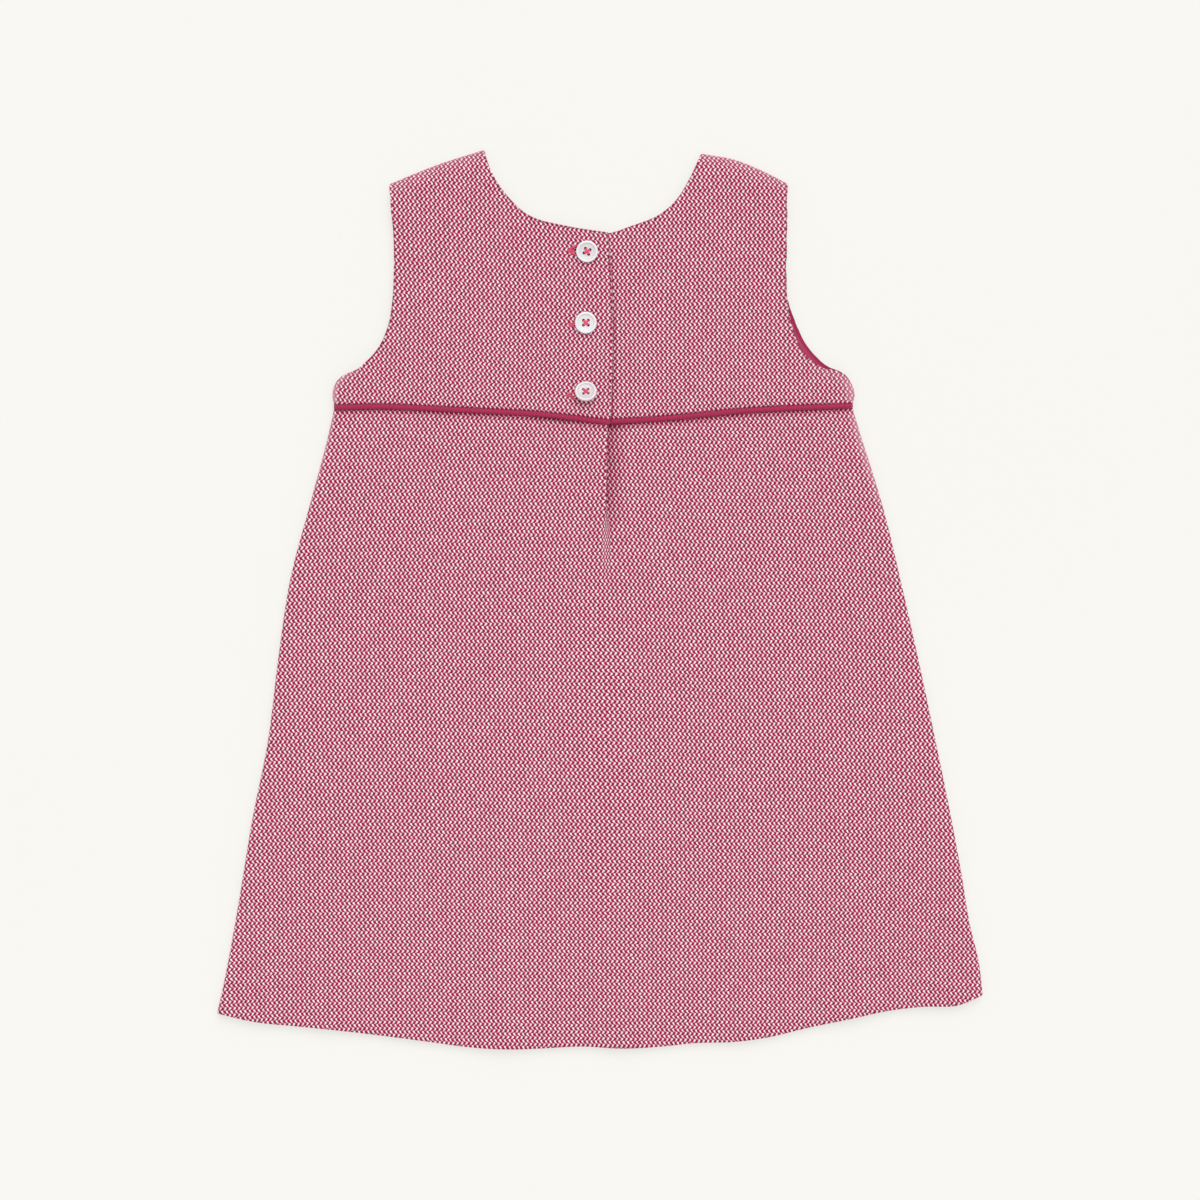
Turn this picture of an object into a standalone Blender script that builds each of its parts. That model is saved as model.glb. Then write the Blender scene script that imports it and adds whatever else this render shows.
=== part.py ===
"""A child's pinafore dress, laid flat on a table with its back up.

Sizes are in millimetres and become metres where a mesh is made.
+X is to the right of someone who looks down on the back, +Y points to the neck, +Z up.
The origin is on the table, under the middle of the dress.
"""
import math
from collections import namedtuple

import bpy
import bmesh
import numpy as np

MM = 0.001

# The cloth and how it is sewn.
CLOTH = 1.2             # thickness of the woven cloth
HALF_CLOTH = CLOTH / 2
FACING = 1.0            # thickness of the plain facing cloth
SEAM = 0.3              # clear gap that two pieces keep at a seam
LAYER = CLOTH + SEAM    # rise from one layer of cloth to the next
PIPING_RADIUS = 1.5
EDGE = PIPING_RADIUS + SEAM + 0.15   # a panel stops this far from the middle of the piping
BUTTON_RADIUS = 6.35
LAP = 25.0              # width of the button stand under the buttonholes

# Heights of the middle of the wall. The front lies on the table, the back lies on the front.
FRONT_LEVEL = HALF_CLOTH
FRONT_CURL = 1.2        # rise of the front at its sewn sides
FRONT_ROLL = 2.0        # width of that curl
UNDERARM_Y = 130.0      # the curl ends at the underarm, and fades out over this length below it
UNDERARM_FADE = 11.0
SEAM_TILT = 0.55        # more room at the sides, where the ends of both walls slant
BACK_REST = FRONT_LEVEL + FRONT_CURL + SEAM + SEAM_TILT
BACK_RISE = 2.2         # height of the soft roll beside a side seam
LEFT_ROLL = 3.0         # width of that roll on the left and on the right
RIGHT_ROLL = 6.0
BACK_SINK = 1.0         # how much lower the back lies, this far from the side seams
SINK_REACH = 70.0
SHOULDER_REST = CLOTH + SEAM + HALF_CLOTH + 0.1
SHOULDER_REACH = 9.0    # the back comes down to the front over this width at the shoulders
STAND_LEVEL = CLOTH + SEAM + HALF_CLOTH + 0.3    # the button stand
FRONT_PIPING_MIDDLE = 0.9
FRONT_PIPING_LIFT = 1.0   # how much the button stand rises over the piping of the front
FRONT_PIPING_REACH = 9.0

Point = namedtuple("Point", "x y")
Wave = namedtuple("Wave", "x_waist x_end half_width rise")
Pleat = namedtuple("Pleat", "y fold_x depth turn")
ButtonPlace = namedtuple("ButtonPlace", "x y turn tilt")
Profile = namedtuple("Profile", "radius height")

# Middle of the piping in the waist seam.
WAIST_LEFT = (
    Point(-153.8, 111.6),
    Point(-126.4, 112.1),
    Point(-98.6, 111.0),
    Point(-62.0, 109.2),
    Point(-38.0, 107.9),
    Point(-14.5, 105.4),
    Point(4.6, 103.0),
)
WAIST_RIGHT = (
    Point(5.3, 103.4),
    Point(27.3, 104.5),
    Point(53.4, 106.7),
    Point(75.4, 109.0),
    Point(103.2, 110.8),
    Point(146.1, 112.5),
)
WAIST_FRONT = (
    Point(-153.8, 111.6),
    Point(-80.0, 109.8),
    Point(0.0, 108.4),
    Point(80.0, 110.4),
    Point(146.1, 112.5),
)
FRONT_WAIST_MIDDLE = 108.4

# Outlines of the bodice, from the waist up: the short side seam and then the armhole.
# At a side seam the wall hangs down, so its middle is half the cloth inside the outline.
ARMHOLE_LEFT = (
    Point(-153.8, 113.4),
    Point(-154.7, 119.0),
    Point(-151.6, 127.4),
    Point(-140.9, 133.4),
    Point(-128.8, 145.0),
    Point(-122.6, 158.5),
    Point(-119.8, 176.0),
    Point(-119.2, 192.0),
    Point(-119.4, 212.0),
    Point(-121.3, 231.0),
    Point(-121.8, 241.3),
)
ARMHOLE_RIGHT = (
    Point(146.1, 114.3),
    Point(147.2, 118.0),
    Point(145.9, 124.0),
    Point(141.0, 130.6),
    Point(128.2, 134.7),
    Point(117.7, 142.8),
    Point(111.6, 157.5),
    Point(108.4, 174.0),
    Point(107.9, 192.0),
    Point(108.2, 212.0),
    Point(108.4, 231.0),
    Point(108.5, 241.6),
)
# The front is cut less deep at the right arm, so that its facing shows there.
FRONT_ARMHOLE_LEFT = (
    Point(-153.8, 113.4),
    Point(-154.7, 119.0),
    Point(-150.8, 127.2),
    Point(-139.4, 132.4),
    Point(-127.0, 143.8),
    Point(-120.9, 158.5),
    Point(-118.0, 176.0),
    Point(-118.0, 212.0),
    Point(-120.8, 231.0),
    Point(-121.8, 241.3),
)
FRONT_ARMHOLE_RIGHT = (
    Point(146.1, 114.3),
    Point(147.2, 118.0),
    Point(145.9, 124.0),
    Point(141.2, 131.0),
    Point(131.9, 135.3),
    Point(120.4, 146.6),
    Point(112.1, 163.4),
    Point(107.8, 178.0),
    Point(106.8, 194.0),
    Point(106.8, 212.0),
    Point(107.8, 231.0),
    Point(108.5, 241.6),
)
SIDE_SEAM_LEFT, SIDE_SEAM_RIGHT = 0.085, 0.11   # shares of the tables above that are side seam
FACING_FROM, FACING_TO = 0.14, 0.51             # the facing's stretch of the front's right armhole
FACING_WIDTH = 9.0
FACING_INSET = 0.5

SHOULDER_LEFT = (Point(-121.8, 241.3), Point(-93.7, 252.6), Point(-67.3, 261.0))
SHOULDER_RIGHT = (Point(58.6, 258.9), Point(78.3, 255.2), Point(93.0, 249.4), Point(108.5, 241.6))
NECK_LEFT = (
    Point(-67.3, 261.0),
    Point(-62.8, 248.2),
    Point(-53.6, 234.3),
    Point(-42.4, 224.0),
    Point(-18.6, 216.9),
    Point(4.6, 213.3),
)
# The right half's neck starts on the button stand, a little below the edge that covers it.
NECK_RIGHT = (
    Point(-18.6, 215.2),
    Point(-6.0, 212.6),
    Point(7.0, 213.3),
    Point(17.4, 216.8),
    Point(34.8, 223.9),
    Point(43.4, 231.2),
    Point(52.2, 244.8),
    Point(58.6, 258.9),
)
NECK_FRONT = (
    Point(-67.3, 261.0),
    Point(-60.5, 240.0),
    Point(-47.0, 218.0),
    Point(-26.0, 203.0),
    Point(-3.0, 199.0),
    Point(20.0, 203.5),
    Point(39.5, 219.0),
    Point(52.0, 240.0),
    Point(58.6, 258.9),
)
LAP_EDGE = (Point(6.4, 104.9), Point(7.2, 140.0), Point(7.2, 178.0), Point(4.6, 213.3))
STAND_EDGE = (Point(6.4 - LAP, 105.6), Point(-18.6, 215.2))
STAND_FOOT = Point(6.4 - LAP, 103.7)

# Outlines of the skirt, from the waist down, again with the middle of the wall at the sides.
SKIRT_LEFT = (
    Point(-153.8, 109.7),
    Point(-157.7, 92.8),
    Point(-167.0, 58.0),
    Point(-179.2, 11.6),
    Point(-186.2, -34.8),
    Point(-192.0, -81.2),
    Point(-201.2, -127.6),
    Point(-208.8, -174.0),
    Point(-214.6, -206.8),
    Point(-221.3, -240.2),
)
SKIRT_RIGHT = (
    Point(146.1, 110.6),
    Point(151.5, 92.8),
    Point(157.2, 75.1),
    Point(164.1, 51.9),
    Point(173.8, 11.6),
    Point(184.2, -34.8),
    Point(194.0, -81.2),
    Point(203.4, -127.6),
    Point(208.8, -156.9),
    Point(214.0, -188.2),
    Point(219.4, -211.4),
    Point(221.3, -229.6),
)
HEM_BACK = (
    Point(-221.3, -240.2),
    Point(-201.5, -244.8),
    Point(-173.7, -247.7),
    Point(-145.9, -250.6),
    Point(-118.0, -254.0),
    Point(-97.0, -256.8),
    Point(-76.3, -259.6),
    Point(-51.0, -260.9),
    Point(-34.5, -260.4),
    Point(-10.5, -259.2),
    Point(12.0, -260.4),
    Point(35.1, -259.3),
    Point(55.0, -257.2),
    Point(76.8, -256.6),
    Point(97.0, -254.0),
    Point(118.6, -248.8),
    Point(146.4, -243.0),
    Point(165.0, -238.9),
    Point(188.2, -236.1),
    Point(208.0, -235.4),
    Point(221.3, -229.6),
)
HEM_FRONT = (
    Point(-221.3, -240.2),
    Point(-170.0, -244.6),
    Point(-90.0, -252.0),
    Point(0.0, -255.0),
    Point(90.0, -250.0),
    Point(170.0, -234.5),
    Point(221.3, -229.6),
)

# Soft ridges of the back skirt, which fan out from the waist and grow towards the hem.
SKIRT_WAVES = (
    Wave(x_waist=-108.0, x_end=-160.0, half_width=25.0, rise=1.0),
    Wave(x_waist=-46.0, x_end=-56.0, half_width=24.0, rise=1.6),
    Wave(x_waist=14.0, x_end=14.0, half_width=20.0, rise=1.3),
    Wave(x_waist=50.0, x_end=78.0, half_width=22.0, rise=1.0),
    Wave(x_waist=96.0, x_end=150.0, half_width=26.0, rise=1.4),
)
# Soft rises of the bodice, highest halfway up from the waist.
BODICE_WAVES = (
    Wave(x_waist=-100.0, x_end=-94.0, half_width=22.0, rise=0.5),
    Wave(x_waist=62.0, x_end=70.0, half_width=24.0, rise=0.5),
)
WAIST_Y, BODICE_HEIGHT, SKIRT_HEIGHT = 110.0, 130.0, 368.0
WAVE_AT_WAIST = 0.15     # share of its height that a wave has at the waist
WAVE_INSET = 20.0        # the waves grow over this width from the side seams

# The pleat under the piping: its left side laps over its right one and opens out on the way down.
# depth is how far the cloth runs back under the fold, turn how far it turns round, in degrees.
PLEAT = (
    Pleat(y=-262.0, fold_x=3.0, depth=0.0, turn=0.0),
    Pleat(y=8.0, fold_x=3.0, depth=0.0, turn=0.0),
    Pleat(y=30.0, fold_x=3.0, depth=0.0, turn=24.0),
    Pleat(y=44.0, fold_x=3.2, depth=0.0, turn=54.0),
    Pleat(y=54.0, fold_x=3.5, depth=0.0, turn=112.0),
    Pleat(y=66.0, fold_x=3.8, depth=0.2, turn=180.0),
    Pleat(y=84.0, fold_x=4.3, depth=2.4, turn=180.0),
    Pleat(y=110.0, fold_x=4.7, depth=4.2, turn=180.0),
)
PLEAT_TURN_STEPS = 4             # straight steps in each of the pleat's two turns
PLEAT_LEVEL = BACK_REST          # its lowest layer
PLEAT_LEFT_REACH = 34.0          # the cloth comes back to its own level this far from the fold
PLEAT_RIGHT_REACH = 13.0
LEAST_DEPTH = 0.02

BUTTONS = (
    ButtonPlace(x=-7.5, y=202.0, turn=-17.0, tilt=0.0),
    ButtonPlace(x=-8.2, y=160.7, turn=0.0, tilt=0.0),
    ButtonPlace(x=-8.2, y=120.2, turn=3.0, tilt=28.0),
)
# Section of a button, from its dished middle out over the raised rim and back under it.
BUTTON_FOOT_RADIUS = 5.2
BUTTON_SECTION = (
    Profile(0.0, 1.55),
    Profile(3.4, 1.65),
    Profile(4.7, 1.95),
    Profile(5.2, 2.35),
    Profile(5.75, 2.4),
    Profile(6.2, 2.0),
    Profile(BUTTON_RADIUS, 1.3),
    Profile(6.1, 0.5),
    Profile(BUTTON_FOOT_RADIUS, 0.0),
    Profile(0.0, 0.0),
)
BUTTON_STEPS = 24
HOLE_RADIUS = 0.75
HOLE_REACH = 1.9        # from the middle of the button to the middle of a hole
HOLE_SIDES = 10

PIPING_LIFT = 0.8       # the cord stands this much above the middle of the cloth beside it
PIPING_STEP = 7.0       # length of a straight stretch of the cord
PIPING_BEND = 2.6       # radius of its bend round the side seams
PIPING_BEND_TURNS = (90.0, 68.0, 46.0, 24.0, 2.0)
PIPING_FOOT = 1.9       # height of its ends at the sides
PIPING_LAP_DROP = 0.7   # how far the right cord is pressed down where the left half covers it
PIPING_LAP_REACH = 14.0

# How finely the panels are divided.
RIM_TURNS = (0.0, 22.5, 45.0, 67.5, 90.0)     # degrees round the roll at a side seam
SHOULDER_STEPS = (9.0, 5.0, 2.0, 0.0)         # distances of rows from the shoulder seam
BODICE_ROWS = (0.0, 0.03, 0.06, 0.095, 0.135, 0.175, 0.22, 0.27, 0.33, 0.4, 0.5, 0.62, 0.74, 0.85)
FRONT_NECK_COLUMNS = 14
FRONT_SKIRT_COLUMNS = 16
FRONT_SKIRT_ROWS = 12
BACK_SKIRT_ROWS = (0.0, 0.025, 0.055, 0.08, 0.1, 0.117, 0.134, 0.15, 0.166, 0.185, 0.21, 0.245,
                   0.29, 0.35, 0.42, 0.5, 0.58, 0.66, 0.74, 0.82, 0.89, 0.95, 1.0)
LEFT_OF_FOLD = (30.0, 20.0, 12.0, 6.0)        # columns beside the fold, as distances from it
RIGHT_OF_FOLD = (4.0, 8.0, 12.0, 17.0, 26.0)
FACING_ROWS = 14
EDGE_SAMPLES = 96

# Colours, as seen in daylight.
TWEED_COLOUR = (198, 131, 148)
PLAIN_COLOUR = (176, 42, 92)
BUTTON_COLOUR = (236, 233, 234)


# ---------------------------------------------------------------------------- curves and patches

def curve(points):
    """A smooth curve through points, as a function of 0 to 1 along its length."""
    places = np.array(points, dtype=float)
    steps = np.hypot(*np.diff(places, axis=0).T)
    knots = np.concatenate([[0.0], np.cumsum(steps)]) / steps.sum()
    slopes = np.gradient(places, knots, axis=0)

    def at(t):
        i = int(np.clip(np.searchsorted(knots, t, side="right") - 1, 0, len(knots) - 2))
        span = knots[i + 1] - knots[i]
        s = (t - knots[i]) / span
        start = (1 + 2 * s) * (1 - s) ** 2 * places[i] + s * (1 - s) ** 2 * span * slopes[i]
        end = s * s * (3 - 2 * s) * places[i + 1] - s * s * (1 - s) * span * slopes[i + 1]
        return start + end

    return at


def sampled(line):
    return np.array([line(k / EDGE_SAMPLES) for k in range(EDGE_SAMPLES + 1)])


def part_of(line, start, end):
    """The stretch of a curve from start to end, again run from 0 to 1."""
    return lambda t: line(start + (end - start) * t)


def joined(first, second, corner):
    """Two curves end to end, with their common corner at a share of the whole run."""
    return lambda t: first(t / corner) if t < corner else second((t - corner) / (1 - corner))


def level_line(points, start_x, end_x, rise=0.0):
    """The smooth curve through points between two places along X, moved up by rise."""
    line = sampled(curve(points))

    def at(u):
        x = start_x + (end_x - start_x) * u
        return np.array((x, float(np.interp(x, line[:, 0], line[:, 1])) + rise))

    return at


def patch(left, right, bottom, top):
    """The Coons patch between four edges that meet at their ends."""
    def at(u, v):
        across = (1 - u) * left(v) + u * right(v)
        along = (1 - v) * bottom(u) + v * top(u)
        ends = (1 - u) * ((1 - v) * left(0) + v * left(1)) + u * ((1 - v) * right(0) + v * right(1))
        return across + along - ends

    return at


def smooth_step(t):
    t = min(max(t, 0.0), 1.0)
    return t * t * (3 - 2 * t)


def bell(t):
    """1 at t = 0 and 0 from t = 1 on, with no kink."""
    return math.cos(min(abs(t), 1.0) * math.pi / 2) ** 2


def distance(place, points):
    """Shortest way from a place to a line of points, in the plane."""
    starts, runs = points[:-1], np.diff(points, axis=0)
    shares = np.clip(np.sum((place - starts) * runs, axis=1) / np.sum(runs * runs, axis=1), 0, 1)
    return float(np.min(np.hypot(*(starts + shares[:, None] * runs - place).T)))


def stepped(first, last, count):
    """The places that divide the way from first to last into count even steps."""
    return [first + (last - first) * k / count for k in range(1, count)]


def rim_shares(width, roll):
    """Shares of a panel's width at which the roll of its sewn side is stepped, from the side in."""
    return [roll * (1 - math.cos(math.radians(turn))) / width for turn in RIM_TURNS]


# ---------------------------------------------------------------------------- edges of the pieces

armhole_left = curve(ARMHOLE_LEFT)
armhole_right = curve(ARMHOLE_RIGHT)
shoulder_left = curve(SHOULDER_LEFT)
shoulder_right = curve(SHOULDER_RIGHT)
side_left = curve(SKIRT_LEFT)
side_right = curve(SKIRT_RIGHT)

BODICE_SIDES = (
    (sampled(part_of(armhole_left, 0.0, SIDE_SEAM_LEFT)), LEFT_ROLL),
    (sampled(part_of(armhole_right, 0.0, SIDE_SEAM_RIGHT)), RIGHT_ROLL),
)
SKIRT_SIDES = ((sampled(side_left), LEFT_ROLL), (sampled(side_right), RIGHT_ROLL))
SHOULDERS = (sampled(shoulder_left), sampled(shoulder_right))


def away_from(x, y, sides):
    """Distance of the nearest sewn side, and the width of its roll."""
    place = np.array((x, y))
    return min((distance(place, points), roll) for points, roll in sides)


# ---------------------------------------------------------------------------- heights of the cloth

def back_level(x, y):
    """The back away from its lap and its pleat: rolled at the sides, a little sunk inside."""
    away, roll = away_from(x, y, BODICE_SIDES + SKIRT_SIDES)
    level = BACK_REST + BACK_RISE * math.sqrt(1 - (1 - min(away / roll, 1.0)) ** 2)
    level -= BACK_SINK * smooth_step(away / SINK_REACH)
    from_shoulder = min(distance(np.array((x, y)), points) for points in SHOULDERS)
    share = math.sin(math.pi / 2 * min(from_shoulder / SHOULDER_REACH, 1.0))
    return SHOULDER_REST + (level - SHOULDER_REST) * share


def waves(table, x, y, down):
    """Height of the soft ridges, where down runs from 0 at the waist to 1 at the other end."""
    level = 0.0
    for wave in table:
        middle = wave.x_waist + (wave.x_end - wave.x_waist) * down
        growth = WAVE_AT_WAIST + (1 - WAVE_AT_WAIST) * down
        level += wave.rise * growth * bell((x - middle) / wave.half_width)
    return level * smooth_step(away_from(x, y, BODICE_SIDES + SKIRT_SIDES)[0] / WAVE_INSET)


def skirt_level(x, y):
    return back_level(x, y) + waves(SKIRT_WAVES, x, y, (WAIST_Y - y) / SKIRT_HEIGHT)


def bodice_level(x, y):
    up = (y - WAIST_Y) / BODICE_HEIGHT
    return back_level(x, y) + waves(BODICE_WAVES, x, y, 1 - abs(2 * up - 1))


def over_front_piping(y):
    return FRONT_PIPING_LIFT * bell((y - FRONT_WAIST_MIDDLE) / FRONT_PIPING_REACH)


def right_half_level(x, y):
    """The button stand lies low, and the cloth rises from it to its own level on the right."""
    stand = STAND_LEVEL + over_front_piping(y)
    return stand + (bodice_level(x, y) - stand) * smooth_step((x - 8.0) / 26.0)


def left_half_level(x, y):
    """One layer above the button stand, and back to its own level on the left of it."""
    lapped = STAND_LEVEL + over_front_piping(y) + LAYER + 0.2
    return lapped + (bodice_level(x, y) - lapped) * smooth_step((STAND_EDGE[0].x - 4.0 - x) / 26.0)


def front_level(x, y, sides):
    """The front is flat on the table and only curls up beside its sewn sides."""
    share = min(away_from(x, y, sides)[0] / FRONT_ROLL, 1.0)
    curl = FRONT_CURL * smooth_step((UNDERARM_Y - y) / UNDERARM_FADE)
    return FRONT_LEVEL + curl * (1 - math.sqrt(1 - (1 - share) ** 2))


def front_bodice_level(x, y):
    return front_level(x, y, BODICE_SIDES)


def front_skirt_level(x, y):
    return front_level(x, y, SKIRT_SIDES)


# ---------------------------------------------------------------------------- making objects

def in_linear_light(colour):
    shares = [c / 255 for c in colour]
    return tuple(s / 12.92 if s <= 0.04045 else ((s + 0.055) / 1.055) ** 2.4 for s in shares) + (1.0,)


def material(name, colour, roughness):
    made = bpy.data.materials.new(name)
    made.use_nodes = True
    shader = made.node_tree.nodes["Principled BSDF"]
    shader.inputs["Base Color"].default_value = in_linear_light(colour)
    shader.inputs["Roughness"].default_value = roughness
    made.diffuse_color = in_linear_light(colour)
    return made


def add_object(name, data, finish, collection):
    made = bpy.data.objects.new(name, data)
    data.materials.append(finish)
    collection.objects.link(made)
    return made


def cloth_object(name, rows, thickness, finish, collection):
    """A wall of cloth round a grid of places, in rows of (x, y, z) that go up along Y."""
    row_steps, column_steps = len(rows) - 1, len(rows[0]) - 1
    grid = bmesh.new()
    bmesh.ops.create_grid(grid, x_segments=column_steps, y_segments=row_steps, size=0.5)
    for vertex in grid.verts:
        row = round((vertex.co.y + 0.5) * row_steps)
        column = round((vertex.co.x + 0.5) * column_steps)
        vertex.co = np.array(rows[row][column]) * MM
    mesh = bpy.data.meshes.new(name)
    grid.to_mesh(mesh)
    grid.free()
    mesh.shade_smooth()
    made = add_object(name, mesh, finish, collection)
    wall = made.modifiers.new("wall", "SOLIDIFY")
    wall.thickness = thickness * MM
    wall.offset = 0.0
    wall.use_even_offset = True
    wall.use_quality_normals = True
    return made


def cord_object(name, route, finish, collection):
    """The piping's round cord along a route of (x, y, z), with closed ends."""
    data = bpy.data.curves.new(name, "CURVE")
    data.dimensions = "3D"
    data.bevel_depth = PIPING_RADIUS * MM
    data.bevel_resolution = 2
    data.use_fill_caps = True
    spline = data.splines.new("POLY")
    spline.points.add(len(route) - 1)
    for point, place in zip(spline.points, route):
        point.co = (*(np.array(place) * MM), 1.0)
    return add_object(name, data, finish, collection)


# ---------------------------------------------------------------------------- the bodice

def bodice_rows():
    """Rows from the waist to the shoulder, close together where the shoulder comes down."""
    return list(BODICE_ROWS) + [1 - away / BODICE_HEIGHT for away in SHOULDER_STEPS]


def lift(outline, columns, rows, level):
    """Rows of (x, y, z): the outline's patch in the plane, at the height that level gives."""
    places = []
    for v in rows:
        width = outline(1, v)[0] - outline(0, v)[0]
        flat = [outline(u, v) for u in columns(width)]
        places.append([(x, y, level(x, y)) for x, y in flat])
    return places


def make_left_half(finish, collection):
    corner = 0.48        # the neck point, as a share of the columns
    bottom = level_line(WAIST_LEFT, ARMHOLE_LEFT[0].x, LAP_EDGE[0].x, EDGE)
    top = joined(shoulder_left, curve(NECK_LEFT), corner)
    outline = patch(armhole_left, curve(LAP_EDGE), bottom, top)

    def columns(width):
        rims = rim_shares(width, LEFT_ROLL)
        return rims + stepped(rims[-1], corner, 4) + [corner] + stepped(corner, 1.0, 7) + [1.0]

    places = lift(outline, columns, bodice_rows(), left_half_level)
    return cloth_object("back_bodice_left", places, CLOTH, finish, collection)


def make_right_half(finish, collection):
    corner = 0.56
    bottom = level_line((STAND_FOOT,) + WAIST_RIGHT, STAND_FOOT.x, ARMHOLE_RIGHT[0].x, EDGE)
    top = joined(curve(NECK_RIGHT), shoulder_right, corner)
    outline = patch(curve(STAND_EDGE), armhole_right, bottom, top)

    def columns(width):
        rims = [1 - share for share in reversed(rim_shares(width, RIGHT_ROLL))]
        return [0.0] + stepped(0.0, corner, 8) + [corner] + stepped(corner, rims[0], 5) + rims

    places = lift(outline, columns, bodice_rows(), right_half_level)
    return cloth_object("back_bodice_right", places, CLOTH, finish, collection)


def make_front_bodice(finish, collection):
    left_corner, right_corner = 0.2, 0.8
    bottom = level_line(WAIST_FRONT, FRONT_ARMHOLE_LEFT[0].x, FRONT_ARMHOLE_RIGHT[0].x, EDGE)
    left_and_neck = joined(shoulder_left, curve(NECK_FRONT), left_corner / right_corner)
    top = joined(left_and_neck, shoulder_right, right_corner)
    outline = patch(curve(FRONT_ARMHOLE_LEFT), curve(FRONT_ARMHOLE_RIGHT), bottom, top)

    def columns(width):
        rims = rim_shares(width, FRONT_ROLL)
        return (rims + stepped(rims[-1], left_corner, 3) + [left_corner]
                + stepped(left_corner, right_corner, FRONT_NECK_COLUMNS) + [right_corner]
                + stepped(right_corner, 1 - rims[-1], 3) + [1 - share for share in reversed(rims)])

    places = lift(outline, columns, bodice_rows(), front_bodice_level)
    return cloth_object("front_bodice", places, CLOTH, finish, collection)


def make_facing(finish, collection):
    """The plain strip inside the front's right armhole, made from that edge and moved up."""
    edge = part_of(curve(FRONT_ARMHOLE_RIGHT), FACING_FROM, FACING_TO)
    level = CLOTH + SEAM + FACING / 2
    places = []
    for k in range(FACING_ROWS + 1):
        t = k / FACING_ROWS
        ahead = edge(t + 0.01) - edge(t - 0.01)
        inward = np.array((-ahead[1], ahead[0])) / np.hypot(*ahead)
        width = FACING_WIDTH * (0.3 + 0.7 * math.sin(math.pi * t))
        places.append([(*(edge(t) + inward * (FACING_INSET + width * share)), level)
                       for share in (1.0, 0.5, 0.0)])
    return cloth_object("front_armhole_facing", places, FACING, finish, collection)


# ---------------------------------------------------------------------------- the skirt

def pleat_path(depth, turn):
    """Offsets (x, z) through the pleat: round and back under the fold, then round to the right."""
    shares = [(k + 0.5) / PLEAT_TURN_STEPS for k in range(PLEAT_TURN_STEPS)]
    step = LAYER / sum(math.sin(math.pi * share) for share in shares)
    runs = [(turn * share, step) for share in shares]
    runs += [(turn, max(depth, LEAST_DEPTH))]
    runs += [(turn * share, step) for share in reversed(shares)]
    path = [np.zeros(2)]
    for angle, length in runs:
        direction = np.array((math.cos(math.radians(angle)), -math.sin(math.radians(angle))))
        path.append(path[-1] + direction * length)
    return path


def pleat_at(y):
    """The pleat's row at y, straight between the rows of its table."""
    keys = [row.y for row in PLEAT]
    return Pleat(y, *(float(np.interp(y, keys, [row[k] for row in PLEAT])) for k in (1, 2, 3)))


def skirt_row(outline, v):
    """One row of the back skirt from side to side, through the pleat's fold."""
    start, end = outline(0.0, v)[0], outline(1.0, v)[0]

    def on_panel(x, extra):
        y = outline((x - start) / (end - start), v)[1]
        return (x, y, skirt_level(x, y) + extra)

    middle_y = outline(0.5, v)[1]
    pleat = pleat_at(middle_y)
    path = pleat_path(pleat.depth, pleat.turn)
    turn_x = pleat.fold_x - LAYER / 2 - HALF_CLOTH     # where the cloth starts to turn under
    drop = -path[-1][1]
    own = skirt_level(turn_x, middle_y)
    closed = smooth_step(0.6 * drop / LAYER)
    sink = closed * (own - PLEAT_LEVEL - over_front_piping(middle_y))
    rise = drop - sink

    row = []
    rims = [start + (end - start) * share for share in rim_shares(end - start, LEFT_ROLL)]
    near = [turn_x - away for away in LEFT_OF_FOLD]
    for x in rims + stepped(rims[-1], near[0], 10) + near:
        row.append(on_panel(x, rise * smooth_step(1 - (turn_x - x) / PLEAT_LEFT_REACH)))
    for dx, dz in path:
        x, y, level = on_panel(turn_x + dx, 0.0)
        row.append((x, y, own + (level - own) * (1 - closed) + rise + dz))
    rims = [end - (end - start) * share for share in reversed(rim_shares(end - start, RIGHT_ROLL))]
    near = [pleat.fold_x + away for away in RIGHT_OF_FOLD]
    for x in near + stepped(near[-1], rims[0], 9) + rims:
        row.append(on_panel(x, -sink * smooth_step(1 - (x - pleat.fold_x) / PLEAT_RIGHT_REACH)))
    return row


def make_back_skirt(finish, collection):
    start, end = SKIRT_LEFT[0].x, SKIRT_RIGHT[0].x
    waist = level_line(WAIST_LEFT + WAIST_RIGHT[1:], start, end, -EDGE)
    hem = level_line(HEM_BACK, HEM_BACK[0].x, HEM_BACK[-1].x)
    outline = patch(side_left, side_right, waist, hem)
    places = [skirt_row(outline, v) for v in reversed(BACK_SKIRT_ROWS)]
    return cloth_object("back_skirt", places, CLOTH, finish, collection)


def make_front_skirt(finish, collection):
    waist = level_line(WAIST_FRONT, SKIRT_LEFT[0].x, SKIRT_RIGHT[0].x, -EDGE)
    hem = level_line(HEM_FRONT, HEM_FRONT[0].x, HEM_FRONT[-1].x)
    outline = patch(side_left, side_right, waist, hem)

    def columns(width):
        rims = rim_shares(width, FRONT_ROLL)
        return (rims + stepped(rims[-1], 1 - rims[-1], FRONT_SKIRT_COLUMNS)
                + [1 - share for share in reversed(rims)])

    rows = [1.0] + stepped(1.0, 0.0, FRONT_SKIRT_ROWS) + [0.0]
    places = lift(outline, columns, rows, front_skirt_level)
    return cloth_object("front_skirt", places, CLOTH, finish, collection)


# ---------------------------------------------------------------------------- the piping

def piping_route(table, level, start_x, end_x):
    """Places of the cord along a stretch of its waist table, on the bodice's lower edge."""
    line = level_line(table, start_x, end_x)
    steps = round((end_x - start_x) / PIPING_STEP)
    flat = [line(k / steps) for k in range(steps + 1)]
    return [(x, y, level(x, y + EDGE) + PIPING_LIFT) for x, y in flat]


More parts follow.
